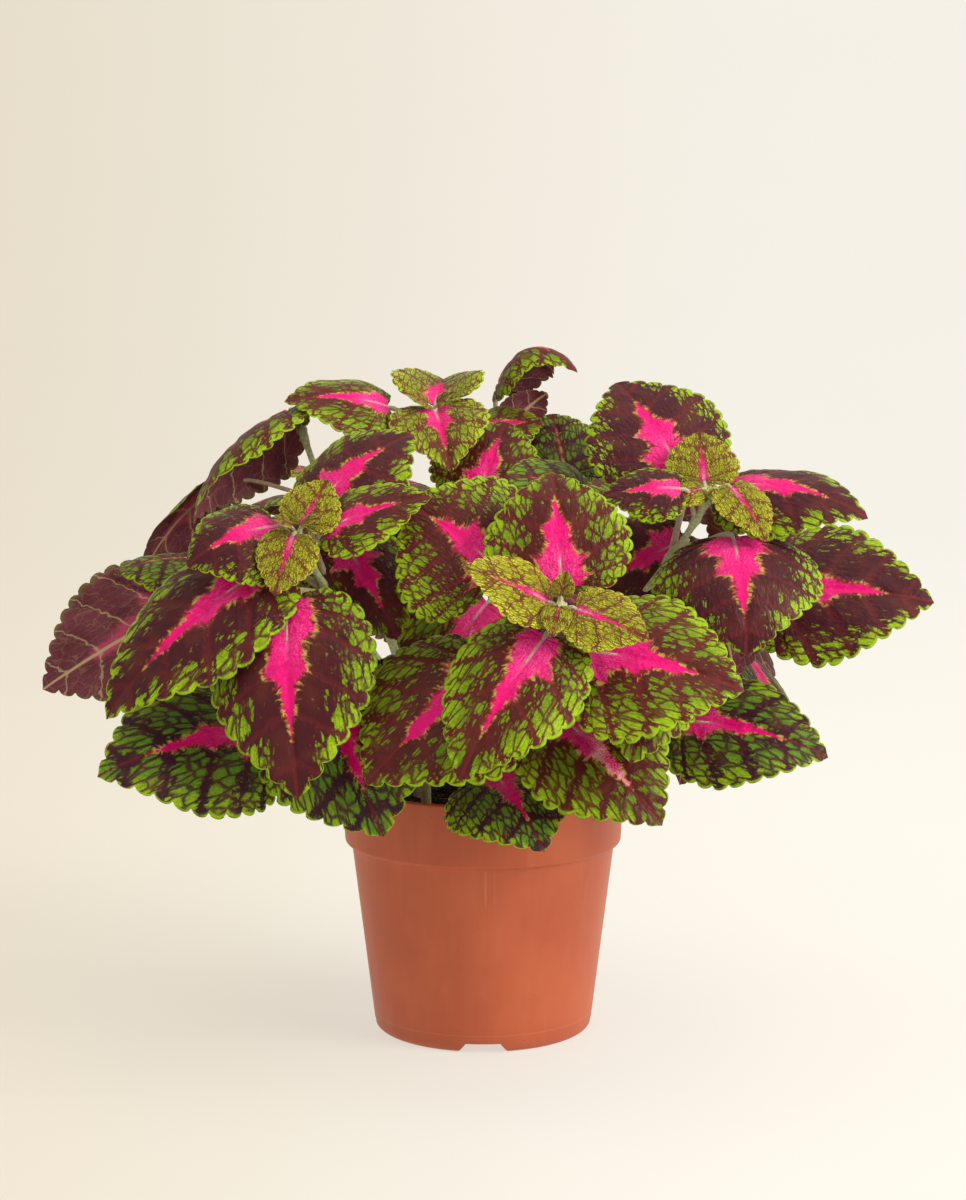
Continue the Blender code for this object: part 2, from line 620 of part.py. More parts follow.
def body_radius(z):
    """Outer radius of the tapering wall below the rim band."""
    return BASE_R + (NECK_R - BASE_R) * (z - FOOT_ROUND) / (BAND_LOW - FOOT_ROUND)


def bar(name, outline, way, start, end):
    """Straight cutter: an outline (across, z) run out along a level direction."""
    rings = [[(way[0] * d - way[1] * u, way[1] * d + way[0] * u, z) for u, z in outline]
             for d in (start, end)]
    return mesh_object(name, *skin(np.array(rings)))


def post(name, x, y, radius, low, high, sides):
    """Upright cutter."""
    angles = [2 * math.pi * (i + 0.5) / sides for i in range(sides)]
    rings = [[(x + radius * math.cos(a), y + radius * math.sin(a), z) for a in angles] for z in (low, high)]
    return mesh_object(name, *skin(np.array(rings)))


def make_pot():
    """Thin-walled pot with a tall rim band, a sunk floor with drains, and notches under its foot."""
    floor_top = FLOOR_LOW + WALL
    band_in = BAND_R - RIM_WALL
    profile = [(0, FLOOR_LOW), (FOOT_IN_R, FLOOR_LOW), (FOOT_IN_R, 0)]
    profile += quarter((BASE_R - FOOT_ROUND, FOOT_ROUND), FOOT_ROUND, -90, 2)
    profile += [(NECK_R, BAND_LOW - 0.6), (BAND_R - 1.6, BAND_LOW), (BAND_R, BAND_LOW + 1.8)]
    profile += quarter((RIM_R - LIP_ROUND, HEIGHT - LIP_ROUND), LIP_ROUND, 0, 1)
    profile += [(RIM_R - RIM_WALL, HEIGHT), (RIM_R - RIM_WALL - 0.6, HEIGHT - 2.0)]
    profile += [(band_in, BAND_LOW + 3.0), (NECK_R - WALL, BAND_LOW - 1.6)]
    profile += [(body_radius(floor_top + 1.5) - WALL, floor_top + 1.5)]
    profile += [(body_radius(floor_top) - WALL - 1.2, floor_top), (0, floor_top)]
    pot = lathe("pot", profile, POT_SIDES)
    outline = [(-NOTCH_LOW / 2 - 1, -1), (NOTCH_LOW / 2 + 1, -1), (NOTCH_HIGH / 2, NOTCH_RISE),
               (-NOTCH_HIGH / 2, NOTCH_RISE)]
    cutters = [post("drain", 0, 0, DRAIN_R, FLOOR_LOW - 1, floor_top + 1, DRAIN_SIDES)]
    for i in range(NOTCHES):
        a = math.radians(360 * i / NOTCHES - 90)
        cutters.append(bar("notch", outline, (math.cos(a), math.sin(a)), FOOT_IN_R - 4, BASE_R + 4))
        a += math.pi / NOTCHES
        x, y = DRAIN_CIRCLE * math.cos(a), DRAIN_CIRCLE * math.sin(a)
        cutters.append(post("drain", x, y, DRAIN_R, FLOOR_LOW - 1, floor_top + 1, DRAIN_SIDES))
    apply_boolean(pot, cutters, "DIFFERENCE")
    keep_main_body(pot)
    finish(pot, (0.42, 0.10, 0.035), 0.5)


def make_soil(stems):
    """Fill of the pot, a gap off its walls, with a plain hole for each stem."""
    floor_top = FLOOR_LOW + WALL
    inner = GAP + WALL
    band_in = BAND_R - RIM_WALL - GAP
    profile = [(0, floor_top + GAP), (body_radius(floor_top) - inner - 1.6, floor_top + GAP),
               (body_radius(floor_top + 2) - inner - 0.3, floor_top + 2), (NECK_R - inner - 0.5, BAND_LOW - 2.5),
               (band_in - 1.0, BAND_LOW + 4.0), (band_in - 0.4, SOIL_TOP - 1.0), (50, SOIL_TOP + 0.6),
               (0, SOIL_TOP + 1.0)]
    soil = lathe("soil", profile, SOIL_SIDES)
    radius = (STEM_RADIUS + GAP) / math.cos(math.pi / HOLE_SIDES)
    low = SOIL_TOP - STEM_SUNK - GAP
    holes = [post("hole", *stem.foot[:2], radius, low, SOIL_TOP + 5, HOLE_SIDES) for stem in stems.values()]
    apply_boolean(soil, holes, "DIFFERENCE")
    keep_main_body(soil)
    finish(soil, (0.02, 0.014, 0.01), 0.95)


# Points inside a blade, by its number of teeth a side; each with y is there on both halves.
INNER = {7: ((0.05, 0.0), (0.28, 0.0), (0.50, 0.0), (0.72, 0.0), (0.88, 0.0), (0.14, 0.5), (0.50, 0.45)),
         6: ((0.06, 0.0), (0.32, 0.0), (0.58, 0.0), (0.82, 0.0), (0.18, 0.5), (0.52, 0.45)),
         5: ((0.10, 0.0), (0.45, 0.0), (0.78, 0.0), (0.30, 0.5)),
         2: ((0.30, 0.0),)}


def teeth_of(leaf):
    if leaf.width < 20:
        return 2
    if not leaf.seen:
        return 5
    return 7 if leaf.width >= 68 else 6 if leaf.width >= 44 else 5


def blade_outline(teeth):
    """Points (x, y) round a blade, two to a tooth: up one side to the tip and down the other."""
    step = (1 - FIRST_TOOTH) / teeth
    shares = [0.0]
    for k in range(teeth):
        shares += [FIRST_TOOTH + step * k, FIRST_TOOTH + step * (k + CREST)]
    right = edge(np.array(shares), teeth, TOOTH_DEPTH)
    return np.vstack([right, ((1.0, 0.0),), right[::-1] * (1, -1)])


def blade_plan(teeth):
    """Flat points (x, y) of a blade, the number of them round its edge, and its midrib's points."""
    rim = blade_outline(teeth)
    inner = []
    for x, y in INNER[teeth]:
        inner += [(x, y), (x, -y)] if y else [(x, 0.0)]
    rib = [len(rim) + i for i, (x, y) in enumerate(inner) if y == 0]
    return np.vstack([rim, inner]), len(rim), rib


def stalk_rings(leaf, side):
    """Square rings down the leafstalk, from below the blade to the middle of the stem."""
    curve = leaf.stalk_curve()
    count = 1 if np.linalg.norm(leaf.base - leaf.joint) < SHORT_STALK else 3
    half = leaf.stalk_radius() * 0.8
    rings = []
    for k in range(1, count + 1):
        t = k / count
        along = unit(bezier(curve, min(t + 0.02, 1)) - bezier(curve, t - 0.02))
        side = unit(side - along * (side @ along))
        up = np.cross(along, side)
        corners = ((1, 1), (-1, 1), (-1, -1), (1, -1))
        rings.append([bezier(curve, t) + (side * a + up * b) * half for a, b in corners])
    return rings


def leaf_mesh(leaf):
    """Blade and stalk in one skin, with the same triangles on the blade's two faces."""
    flat, edge_count, rib = blade_plan(teeth_of(leaf))
    count = len(flat)
    points = [Vector((x * leaf.length, y * leaf.width / 2)) for x, y in flat]
    loop = [(i, (i + 1) % edge_count) for i in range(edge_count)]
    ties = list(zip(rib, rib[1:])) + [(rib[-1], edge_count // 2)]
    _, _, found, origin, _, _ = delaunay_2d_cdt(points, loop + ties, [], 1, 1e-7)
    triangles = [tuple(origin[i][0] for i in t) for t in found]
    middle, normal = leaf.place(flat[:, 0], flat[:, 1])
    verts = list(middle + normal * BLADE / 2) + list(middle - normal * BLADE / 2)
    faces = triangles + [tuple(i + count for i in t[::-1]) for t in triangles]
    for a, b in loop[:-1]:
        faces += [(a, a + count, b + count), (a, b + count, b)]
    last = (0, edge_count - 1, edge_count - 1 + count, count)
    for ring in stalk_rings(leaf, middle[0] - middle[edge_count - 1]):
        new = tuple(range(len(verts), len(verts) + 4))
        verts += ring
        faces += [(last[i], new[i], new[(i + 1) % 4], last[(i + 1) % 4]) for i in range(4)]
        last = new
    faces.append(last)
    return verts, faces


def stem_mesh(stem):
    """Square stem, straight down in its hole and curved above the soil."""
    rings = tube_rings(stem.curve, STEM_RADIUS, STEM_TIP_RADIUS, STEM_RINGS, STEM_SIDES)
    sunk = rings[:1].copy()
    sunk[:, :, 2] = SOIL_TOP - STEM_SUNK
    return skin(np.concatenate([sunk, rings]))


def make_shoot(name, stem, leaves):
    """One leafy stem: stem, stalks and blades joined in one solid."""
    obj = mesh_object("shoot_" + name, *stem_mesh(stem))
    apply_boolean(obj, [mesh_object("leaf", *leaf_mesh(leaf)) for leaf in leaves], "UNION")
    keep_main_body(obj)
    finish(obj, (0.12, 0.09, 0.03), 0.5)


def main():
    for obj in list(bpy.data.objects):
        bpy.data.objects.remove(obj)
    stems, leaves = make_layout()
    make_pot()
    make_soil(stems)
    for name, stem in stems.items():
        make_shoot(name, stem, [leaf for leaf in leaves if leaf.shoot == name])


main()
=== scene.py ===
"""Looks of the potted coleus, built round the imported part.

Each leafy stem of the part is replaced by finer leaves, on the layout of the part's source, and the pot
and soil by finer ones. Sizes are in millimetres and become metres where the meshes are made. +Z is up
and the plant's front faces -Y.
"""
import math
import random
from types import SimpleNamespace

import bmesh
import bpy
import numpy as np
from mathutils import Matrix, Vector


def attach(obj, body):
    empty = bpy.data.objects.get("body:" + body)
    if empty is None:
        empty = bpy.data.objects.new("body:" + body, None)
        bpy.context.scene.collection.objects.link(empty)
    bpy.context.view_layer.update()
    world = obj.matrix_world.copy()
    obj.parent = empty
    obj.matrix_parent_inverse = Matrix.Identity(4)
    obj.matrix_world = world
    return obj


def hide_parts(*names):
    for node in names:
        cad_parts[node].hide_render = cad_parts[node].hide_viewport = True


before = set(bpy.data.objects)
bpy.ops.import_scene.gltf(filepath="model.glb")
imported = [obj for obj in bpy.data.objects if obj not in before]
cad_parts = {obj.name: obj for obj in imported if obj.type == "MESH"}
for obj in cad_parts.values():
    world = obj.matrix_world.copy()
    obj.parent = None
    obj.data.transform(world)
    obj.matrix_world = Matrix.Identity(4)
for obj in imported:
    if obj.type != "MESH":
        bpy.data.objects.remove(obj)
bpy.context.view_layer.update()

MM = 0.001

# Pot
HEIGHT = 108.0
RIM_R = 60.0
RIM_WALL = 1.8
LIP_ROUND = 1.0
BAND_LOW = 81.0
BAND_R = 59.0
NECK_R = 56.2
BASE_R = 46.6
WALL = 1.6
FOOT_ROUND = 3.4
FOOT_IN_R = 40.8
FLOOR_LOW = 5.2
NOTCHES = 4
NOTCH_LOW = 20.5
NOTCH_HIGH = 14.5
NOTCH_RISE = 4.1
DRAIN_R = 4.2
DRAIN_CIRCLE = 28.0
POT_SEGMENTS = 144
SHARP_ANGLE = 35

# Soil
SOIL_TOP = 97.0
SOIL_RINGS = 44
SOIL_SEGMENTS = 110
CRUMBS = 1500
STRAWS = 260

# Stems and leafstalks
STEM_SUNK = 15.0
STEM_START = 6.0
STEM_RADIUS = 2.4
STEM_TIP_RADIUS = 1.3
STEM_HANDLES = (0.45, 0.35)
STEM_SAMPLES = 40
JOINT_SWELL = 0.5
JOINT_REACH = 3.0
STALK_RADIUS = ((0, 60), (0.6, 1.4))
STALK_HANDLES = (0.35, 0.4)
STALK_SAMPLES = 9
STALK_START = 0.12
STALK_THICKNESS = ((STALK_START, 0.7, 1.0), (0.92, 0.9, 1.25))

# The ridge that a leafstalk makes under its midrib: shares of the midrib, and there the depth and
# thickness as shares of the stalk's radius
RIDGE_WAY = (0.22, 0.15, 0.09, 0.04)
RIDGE_SUNK = (0.3, 0.6, 0.9, 1.05)
RIDGE_RADII = (0.25, 0.45, 0.65, 0.8)

# Outline of a half blade, as in the part
LOWER_EDGE = ((0.0, 0.05), (-0.10, 0.42), (-0.05, 0.98), (0.33, 1.0))
UPPER_EDGE = ((0.33, 1.0), (0.60, 1.01), (0.82, 0.40), (1.0, 0.0))
OUTLINE_SAMPLES = 200
OUTLINE_STEP = 0.01
HALF_ASPECT = 0.42
FIRST_TOOTH = 0.08
TOOTH_SKEW = 0.85
TOOTH_ROUND = 0.6
TOOTH_MEAN = 0.45
TOOTHLESS = 0.4
TEETH_FADE = 0.06

# Midrib and edge of a blade, as in the part
CURVE_SAMPLES = 80
CURVE_STEP = 0.02
RIB_STEP = 0.01
RIB_HANDLES = (0.30, 0.76)
EDGE_WAVE = 0.02
EDGE_WAVES = 1.6

# The photograph's view: the camera's place and lens, and how far it looks down
EYE = np.array((0.0, -1196.0, 349.0))
LENS = 85.4
SENSOR = 36.0
LOOK_DOWN = 7.83

# Fine blades. Depths are for a blade of the full length.
FULL_LENGTH = 80
FINE_TOOTH = 0.028
TEETH_BY_WIDTH = ((60, 13), (44, 12), (20, 10), (0, 6))
TOOTH_STEPS = (0.0, 0.16, 0.34, 0.5, 0.66, 0.84)
ACROSS = (0.0, 0.03, 0.08, 0.16, 0.27, 0.39, 0.51, 0.63, 0.74, 0.84, 0.92, 0.97, 1.0)
BLADE_THICK = 0.42
TEETH_PER_VEIN = 2
RIB_GROOVE = 0.8
RIB_GROOVE_WIDTH = 1.5
VEIN_GROOVE = 0.9
VEIN_GROOVE_WIDTH = 1.6
VEIN_SLANT = 1.15
LOBE_BULGE = 0.45
RIPPLE = 0.25
RIPPLE_RATE = 9.0

# Share of pink by a leaf's age, and the ages of the plain dark green leaves, which have none
PINK_BY_AGE = ((0.0, 0.1, 0.2, 0.4, 0.9, 1.0), (0.1, 0.3, 0.45, 1.0, 1.0, 0.75))
PLAIN_AGES = (0.92, 0.98)

# How far pink reaches across a blade, and how much further on a side vein, by the way to the tip
PINK_REACH = ((0.0, 0.34), (0.08, 0.28), (0.2, 0.2), (0.35, 0.15), (0.55, 0.09), (0.74, 0.01))
PINK_SPIKES = ((0.0, 0.12), (0.15, 0.2), (0.4, 0.16), (0.66, 0.03))

# Cells of the coarse and the fine net between two side veins, and along them
COARSE_NET = (2.2, 2.8)
FINE_NET = (5.5, 7.0)

# How green the grown leaves of a stem are, from 0 to 1
GREEN_OF_SHOOT = {"front": 0.66, "crown": 0.85, "middle": 0.62, "peak": 0.75, "left": 0.46, "right": 0.36,
                  "side": 0.6}
GREEN_ELSEWHERE = 0.55

# Backdrop, in metres
STAGE_HALF = 9.0
STAGE_BACK = 1.6
STAGE_CURVE = 1.4
STAGE_HEIGHT = 6.0
STAGE_STEPS = 24


def unit(v):
    return v / np.linalg.norm(v)


def bezier(points, t):
    p = [np.asarray(q, float) for q in points]
    t = np.asarray(t, float)[..., None]
    u = 1.0 - t
    return u**3 * p[0] + 3 * u**2 * t * p[1] + 3 * u * t**2 * p[2] + t**3 * p[3]


def direction(curve, t, step):
    """Unit vectors along a curve, between two points a step behind and ahead."""
    along = bezier(curve, np.clip(t + step, 0, 1)) - bezier(curve, np.clip(t - step, 0, 1))
    return along / np.linalg.norm(along, axis=-1, keepdims=True)


def curve_way(curve):
    """Parameters along a curve, and the length of the curve up to each."""
    t = np.linspace(0, 1, CURVE_SAMPLES)
    steps = np.diff(bezier(curve, t), axis=0)
    return t, np.concatenate([[0.0], np.cumsum(np.linalg.norm(steps, axis=1))])


def turned(v, axis, degrees):
    a = math.radians(degrees)
    axis = unit(axis)
    return v * math.cos(a) + np.cross(axis, v) * math.sin(a) + axis * (axis @ v) * (1 - math.cos(a))


def facing(azimuth, elevation):
    """Direction by its azimuth from the front (-Y) towards +X, and its elevation, in degrees."""
    a, e = math.radians(azimuth), math.radians(elevation)
    return np.array([math.sin(a) * math.cos(e), -math.cos(a) * math.cos(e), math.sin(e)])


def outline_table():
    """Smooth outline of a half blade, with each point's share of the way from stalk to tip."""
    t = np.linspace(0.0, 1.0, OUTLINE_SAMPLES)
    pts = np.vstack([bezier(LOWER_EDGE, t), bezier(UPPER_EDGE, t)[1:]])
    steps = np.diff(pts, axis=0) * (1.0, HALF_ASPECT)
    way = np.concatenate([[0.0], np.cumsum(np.hypot(steps[:, 0], steps[:, 1]))])
    return way / way[-1], pts


OUTLINE = outline_table()


def smooth_edge(s):
    way, pts = OUTLINE
    return np.stack([np.interp(s, way, pts[:, 0]), np.interp(s, way, pts[:, 1])], axis=-1)


def edge(s, teeth, depth):
    """Scalloped outline at shares s: rounded teeth stand out of the smooth one, and fade at the tip."""
    s = np.asarray(s, float)
    ahead, behind = np.clip(s + OUTLINE_STEP, 0, 1), np.clip(s - OUTLINE_STEP, 0, 1)
    d = (smooth_edge(ahead) - smooth_edge(behind)) * (1.0, HALF_ASPECT)
    n = np.stack([-d[..., 1], d[..., 0]], axis=-1)
    n = n / np.maximum(np.linalg.norm(n, axis=-1, keepdims=True), 1e-9)
    n = np.where(n[..., 1:2] < 0, -n, n)
    count = tooth_count(s, teeth)
    phase = count - np.floor(count)
    bump = np.where(count > 0, np.sin(np.pi * phase**TOOTH_SKEW) ** TOOTH_ROUND, TOOTHLESS)
    fade = np.clip((1.0 - s) / TEETH_FADE, 0.0, 1.0)
    out = depth * (bump - TOOTH_MEAN) * fade
    return smooth_edge(s) + n * out[..., None] / (1.0, HALF_ASPECT)


def tooth_count(s, teeth):
    """How many teeth lie before the shares s of the outline."""
    return (s - FIRST_TOOTH) / (1.0 - FIRST_TOOTH) * teeth


class Stem:
    """A stem from its foot on the soil, first upright and then leaning out to its apex."""

    def __init__(self, foot, apex):
        foot, apex = np.array((*foot, SOIL_TOP), float), np.array(apex, float)
        rise = apex - foot
        out = unit(rise * (1.0, 1.0, 1.1))
        reach = np.linalg.norm(rise)
        low, high = STEM_HANDLES
        self.curve = (foot + (0, 0, STEM_START), foot + (0, 0, low * rise[2]),
                      apex - out * high * reach, apex)
        self.t, self.way = curve_way(self.curve)

    def at(self, below, share):
        """Point and direction at a distance below the apex, no deeper than a share of the stem."""
        length = self.way[-1]
        t = np.interp(length - min(below, length * share), self.way, self.t)
        return bezier(self.curve, t), direction(self.curve, t, CURVE_STEP)


class Leaf:
    """A leaf: the point where its stalk leaves the stem, and a blade arched along its midrib."""

    def __init__(self, number, shoot, joint, base, tip, width, face, arch, fold, curl, twist, age):
        self.number, self.shoot, self.joint = number, shoot, np.asarray(joint, float)
        self.base, self.tip = np.asarray(base, float), np.asarray(tip, float)
        self.width, self.face = width, np.asarray(face, float)
        self.arch, self.fold, self.curl, self.twist, self.age = arch, fold, curl, twist, age
        self.shape()

    def shape(self):
        """Works out the midrib's curve and the blade's sideways direction."""
        c = self.tip - self.base
        chord = np.linalg.norm(c)
        along = c / chord
        up = unit(self.face - along * (self.face @ along))
        self.side = np.cross(along, up)
        lift = up * self.arch * chord
        self.rib = (self.base, *(self.base + share * c + lift for share in RIB_HANDLES), self.tip)
        self.t, way = curve_way(self.rib)
        self.length = way[-1]
        self.way = way / way[-1]

    def rib_frame(self, x):
        """Points along the midrib with their directions along, sideways and up."""
        x = np.asarray(x, float)
        t = np.interp(x, self.way, self.t)
        along = direction(self.rib, t, RIB_STEP)
        past = np.minimum(x, 0.0) + np.maximum(x - 1.0, 0.0)
        p = bezier(self.rib, t) + along * (past * self.length)[..., None]
        side = np.broadcast_to(self.side, p.shape)
        up = np.cross(side, along)
        turn = np.radians(self.twist) * x
        c, s = np.cos(turn)[..., None], np.sin(turn)[..., None]
        return p, along, side * c + up * s, up * c - side * s

    def place(self, x, y):
        """Middle of the blade and its upward normal at x along and y across, both as shares."""
        x, y = np.asarray(x, float), np.asarray(y, float)
        p, _, side, up = self.rib_frame(x)
        half, across, sign = self.width / 2, np.abs(y), np.sign(y)
        fold, curl = math.radians(self.fold), math.radians(self.curl)
        slope = fold + curl * across
        out = half * (np.sin(slope) - math.sin(fold)) / curl
        rise = half * (math.cos(fold) - np.cos(slope)) / curl
        wave = np.sin(2 * np.pi * (EDGE_WAVES * x + 0.37 * self.number) + np.where(y > 0, 0.0, 2.0))
        rise = rise + EDGE_WAVE * self.width * across**2 * wave
        middle = p + side * (out * sign)[..., None] + up * rise[..., None]
        normal = up * np.cos(slope)[..., None] - side * (np.sin(slope) * sign)[..., None]
        return middle, normal

    def stalk_radius(self):
        return np.interp(self.width, *STALK_RADIUS)

    def stalk_curve(self):
        """From the blade, in line with its midrib, round to the middle of the stem."""
        _, along, _, _ = self.rib_frame(np.array([0.0]))
        gap = self.base - self.joint
        reach = np.linalg.norm(gap)
        near_blade, near_stem = STALK_HANDLES
        return (self.base, self.base - along[0] * near_blade * reach, self.joint + gap * near_stem,
                self.joint)


# Every leaf that shows from the front, by stem: the pair it belongs to, base and tip of its blade,
# width, the azimuth and elevation that its upper side faces, arch, fold, curl and age (0 to 1).
SEEN = {
    "front": dict(foot=(8, -26), apex=(30, -119, 199), leaves=[
        (0, (30, -117, 202), (32, -116, 212), 9, 0, 30, 0.10, 15, -20, 0.0),
        (0, (29, -122, 199), (26, -129, 188), 12, 0, 35, 0.10, 10, -30, 0.05),
        (1, (26, -120, 200), (-8, -122, 214), 31, 0, 45, 0.06, 4, -25, 0.2),
        (1, (35, -120, 198), (63, -128, 187), 31, 0, 45, 0.06, 4, -25, 0.2),
        (2, (30, -114, 205), (27, -80, 246), 58, 0, 42, 0.22, 4, -25, 0.55),
        (2, (24, -118, 187), (-9, -143, 135), 56, -10, 38, 0.12, 6, -35, 0.5),
        (3, (38, -108, 180), (100, -122, 166), 70, 10, 38, 0.10, 4, -30, 0.6),
        (3, (4, -100, 172), (-45, -120, 129), 76, -15, 40, 0.10, 4, -30, 0.75),
        (4, (28, -82, 152), (70, -106, 110), 62, 10, 30, 0.10, 4, -25, 0.9),
        (4, (4, -72, 124), (24, -104, 99), 56, 0, 40, 0.20, 6, -35, 1.0),
    ]),
    "left": dict(foot=(-24, -20), apex=(-73, -88, 223), leaves=[
        (0, (-75, -90, 226), (-83, -93, 229), 8, 0, 60, 0.20, 15, -20, 0.05),
        (0, (-71, -91, 226), (-63, -94, 229), 8, 0, 60, 0.20, 15, -20, 0.05),
        (1, (-71, -88, 226), (-61, -76, 243), 25, 0, 35, 0.08, 6, -25, 0.2),
        (1, (-74, -91, 223), (-81, -101, 200), 25, 0, 30, 0.10, 6, -30, 0.2),
        (2, (-82, -80, 225), (-116, -90, 210), 48, -15, 38, 0.20, -2, -40, 0.5),
        (2, (-62, -84, 224), (-20, -88, 237), 36, 0, 50, 0.10, 6, -35, 0.4),
        (3, (-66, -72, 232), (-28, -44, 258), 56, -20, 45, 0.15, 4, -45, 0.65),
        (3, (-77, -92, 197), (-71, -122, 124), 70, -12, 25, 0.10, 6, -40, 0.7),
        (3, (-86, -70, 208), (-148, -94, 150), 62, -25, 40, 0.12, 8, -40, 0.8),
        (3, (-56, -60, 216), (-34, -84, 180), 50, 10, 35, 0.12, 6, -40, 0.8),
        (4, (-90, -60, 137), (-152, -94, 127), 70, -10, 35, 0.18, 4, -35, 1.0),
        (4, (-62, -58, 158), (-39, -98, 104), 82, -30, 42, 0.12, 4, -30, 1.0),
    ]),
    "right": dict(foot=(26, -16), apex=(91, -60, 236), heading=10, pairs=(4,), leaves=[
        (0, (88, -61, 238), (73, -66, 231), 14, 0, 50, 0.15, 4, -30, 0.1),
        (0, (93, -62, 238), (100, -69, 231), 12, 20, 50, 0.15, 4, -30, 0.1),
        (1, (89, -56, 240), (88, -38, 259), 30, 0, 38, 0.08, 6, -25, 0.2),
        (1, (99, -62, 239), (112, -76, 218), 24, 20, 40, 0.12, 10, -35, 0.2),
        (2, (79, -60, 238), (47, -68, 235), 32, 0, 50, 0.10, 4, -40, 0.45),
        (2, (97, -54, 238), (154, -64, 226), 50, 10, 52, 0.18, -4, -40, 0.5),
        (3, (80, -42, 244), (55, -10, 277), 64, 10, 35, 0.12, 6, -30, 0.7),
        (3, (100, -66, 219), (103, -98, 176), 74, 0, 35, 0.22, 2, -45, 0.75),
        (3, (116, -24, 192), (186, -34, 188), 72, 10, 42, 0.10, 6, -25, 0.8),
        (3, (82, -36, 214), (46, -34, 192), 50, -15, 35, 0.12, 6, -35, 0.8),
        (4, (94, -34, 206), (102, -56, 160), 56, 170, 5, 0.10, 6, -25, 0.8),
        (4, (79, -52, 142), (139, -70, 130), 56, 10, 40, 0.15, 6, -35, 1.0),
    ]),
    "middle": dict(foot=(12, 0), apex=(16, -48, 224), leaves=[
        (2, (35, -10, 237), (29, 20, 262), 44, 0, 45, 0.12, 8, -35, 0.95),
        (2, (42, -30, 234), (8, -36, 240), 40, 0, 50, 0.12, 4, -45, 0.95),
        (3, (6, -88, 209), (-31, -76, 234), 72, -5, 38, 0.12, 6, -35, 0.65),
        (3, (-2, -30, 232), (10, 0, 260), 50, 0, 40, 0.12, 6, -35, 0.7),
        (4, (2, -44, 190), (-26, -62, 148), 58, -10, 35, 0.12, 6, -35, 0.9),
    ]),
    "crown": dict(foot=(-8, 8), apex=(-21, -3, 266), heading=110, pairs=(3,), leaves=[
        (0, (-23, -6, 268), (-34, -9, 273), 10, 0, 60, 0.10, 12, -20, 0.05),
        (0, (-19, -6, 268), (-12, -8, 273), 9, 0, 60, 0.10, 12, -20, 0.05),
        (1, (-20, -8, 266), (-13, -34, 242), 42, 0, 35, 0.10, 20, -30, 0.35),
        (1, (-20, 2, 267), (-17, 32, 276), 42, 0, 70, 0.10, 30, -15, 0.35),
        (2, (-40, -2, 267), (-83, -8, 269), 42, 0, 58, 0.12, 6, -40, 0.55),
        (2, (-2, 2, 256), (26, 16, 258), 40, 10, 60, 0.12, 6, -40, 0.7),
    ]),
    "peak": dict(foot=(6, 20), apex=(6, 22, 258), heading=70, pairs=(3,), leaves=[
        (1, (6, 22, 272), (40, 12, 280), 42, -118, 45, 0.50, -8, -70, 0.7),
        (1, (10, 26, 254), (28, 36, 270), 24, 150, 40, 0.20, 6, -45, 0.75),
        (2, (4, 8, 246), (14, 2, 262), 26, 0, 40, 0.15, 6, -40, 0.95),
        (2, (8, 34, 252), (12, 68, 258), 42, 180, 60, 0.18, 6, -40, 0.7),
    ]),
    "side": dict(foot=(-28, 8), apex=(-76, -4, 258), heading=170, pairs=(3,), leaves=[
        (0, (-76, -4, 259), (-78, -4, 268), 8, 0, 30, 0.10, 12, -20, 0.1),
        (1, (-78, -8, 266), (-119, -34, 220), 58, -118, 42, 0.20, -8, -70, 0.7),
        (3, (-113, 4, 232), (-143, -8, 196), 34, -140, 25, 0.15, 0, -60, 0.8),
        (3, (-114, -40, 207), (-150, -50, 202), 44, 0, 70, 0.12, 0, -70, 0.95),
        (4, (-124, -28, 186), (-182, -36, 152), 60, 170, 20, 0.10, 8, -25, 0.85),
    ]),
}

# Stems at the back and sides: foot, apex, heading of the outer side in degrees from +X, their pairs.
HIDDEN = {
    "back": dict(foot=(6, 40), apex=(2, 108, 222), heading=90, pairs=(1, 2, 3, 4)),
    "back_left": dict(foot=(-24, 30), apex=(-74, 70, 234), heading=135, pairs=(1, 2, 3, 4)),
    "back_right": dict(foot=(28, 30), apex=(84, 66, 226), heading=45, pairs=(1, 2, 3, 4)),
    "far_left": dict(foot=(-42, 14), apex=(-104, 40, 196), heading=160, pairs=(1, 2, 3)),
    "far_right": dict(foot=(44, 12), apex=(114, 30, 200), heading=15, pairs=(1, 2, 3)),
}
SHOOTS = {**SEEN, **HIDDEN}

# A stem's pairs by rule: distance below the apex, length and width of a leaf, its rise in degrees on
# the outer and the inner side, length of its stalk, age, and the pair's two directions from the heading.
PAIRS = {
    1: (6, 36, 26, 20, 35, 4, 0.25, (15, 195)),
    2: (16, 54, 42, -10, 15, 10, 0.5, (-75, 105)),
    3: (36, 74, 60, -34, 0, 18, 0.75, (-40, 62)),
    4: (64, 80, 64, -46, -12, 24, 0.9, (-100, 15)),
}
# How far below the apex each pair in the list leaves the stem
JOINT_BELOW = (1, 4, 13, 32, 60)

# Leaves in the list are numbered from 0, and those made by rule from here
FIRST_BY_RULE = 100


def leaves_by_list(stems):
    leaves = []
    for shoot, rows in SHOOTS.items():
        for pair, base, tip, width, azimuth, elevation, arch, fold, curl, age in rows.get("leaves", ()):
            joint, _ = stems[shoot].at(JOINT_BELOW[pair], 0.7)
            leaves.append(Leaf(len(leaves), shoot, joint, base, tip, width, facing(azimuth, elevation),
                               arch, fold, curl, 0, age))
    return leaves


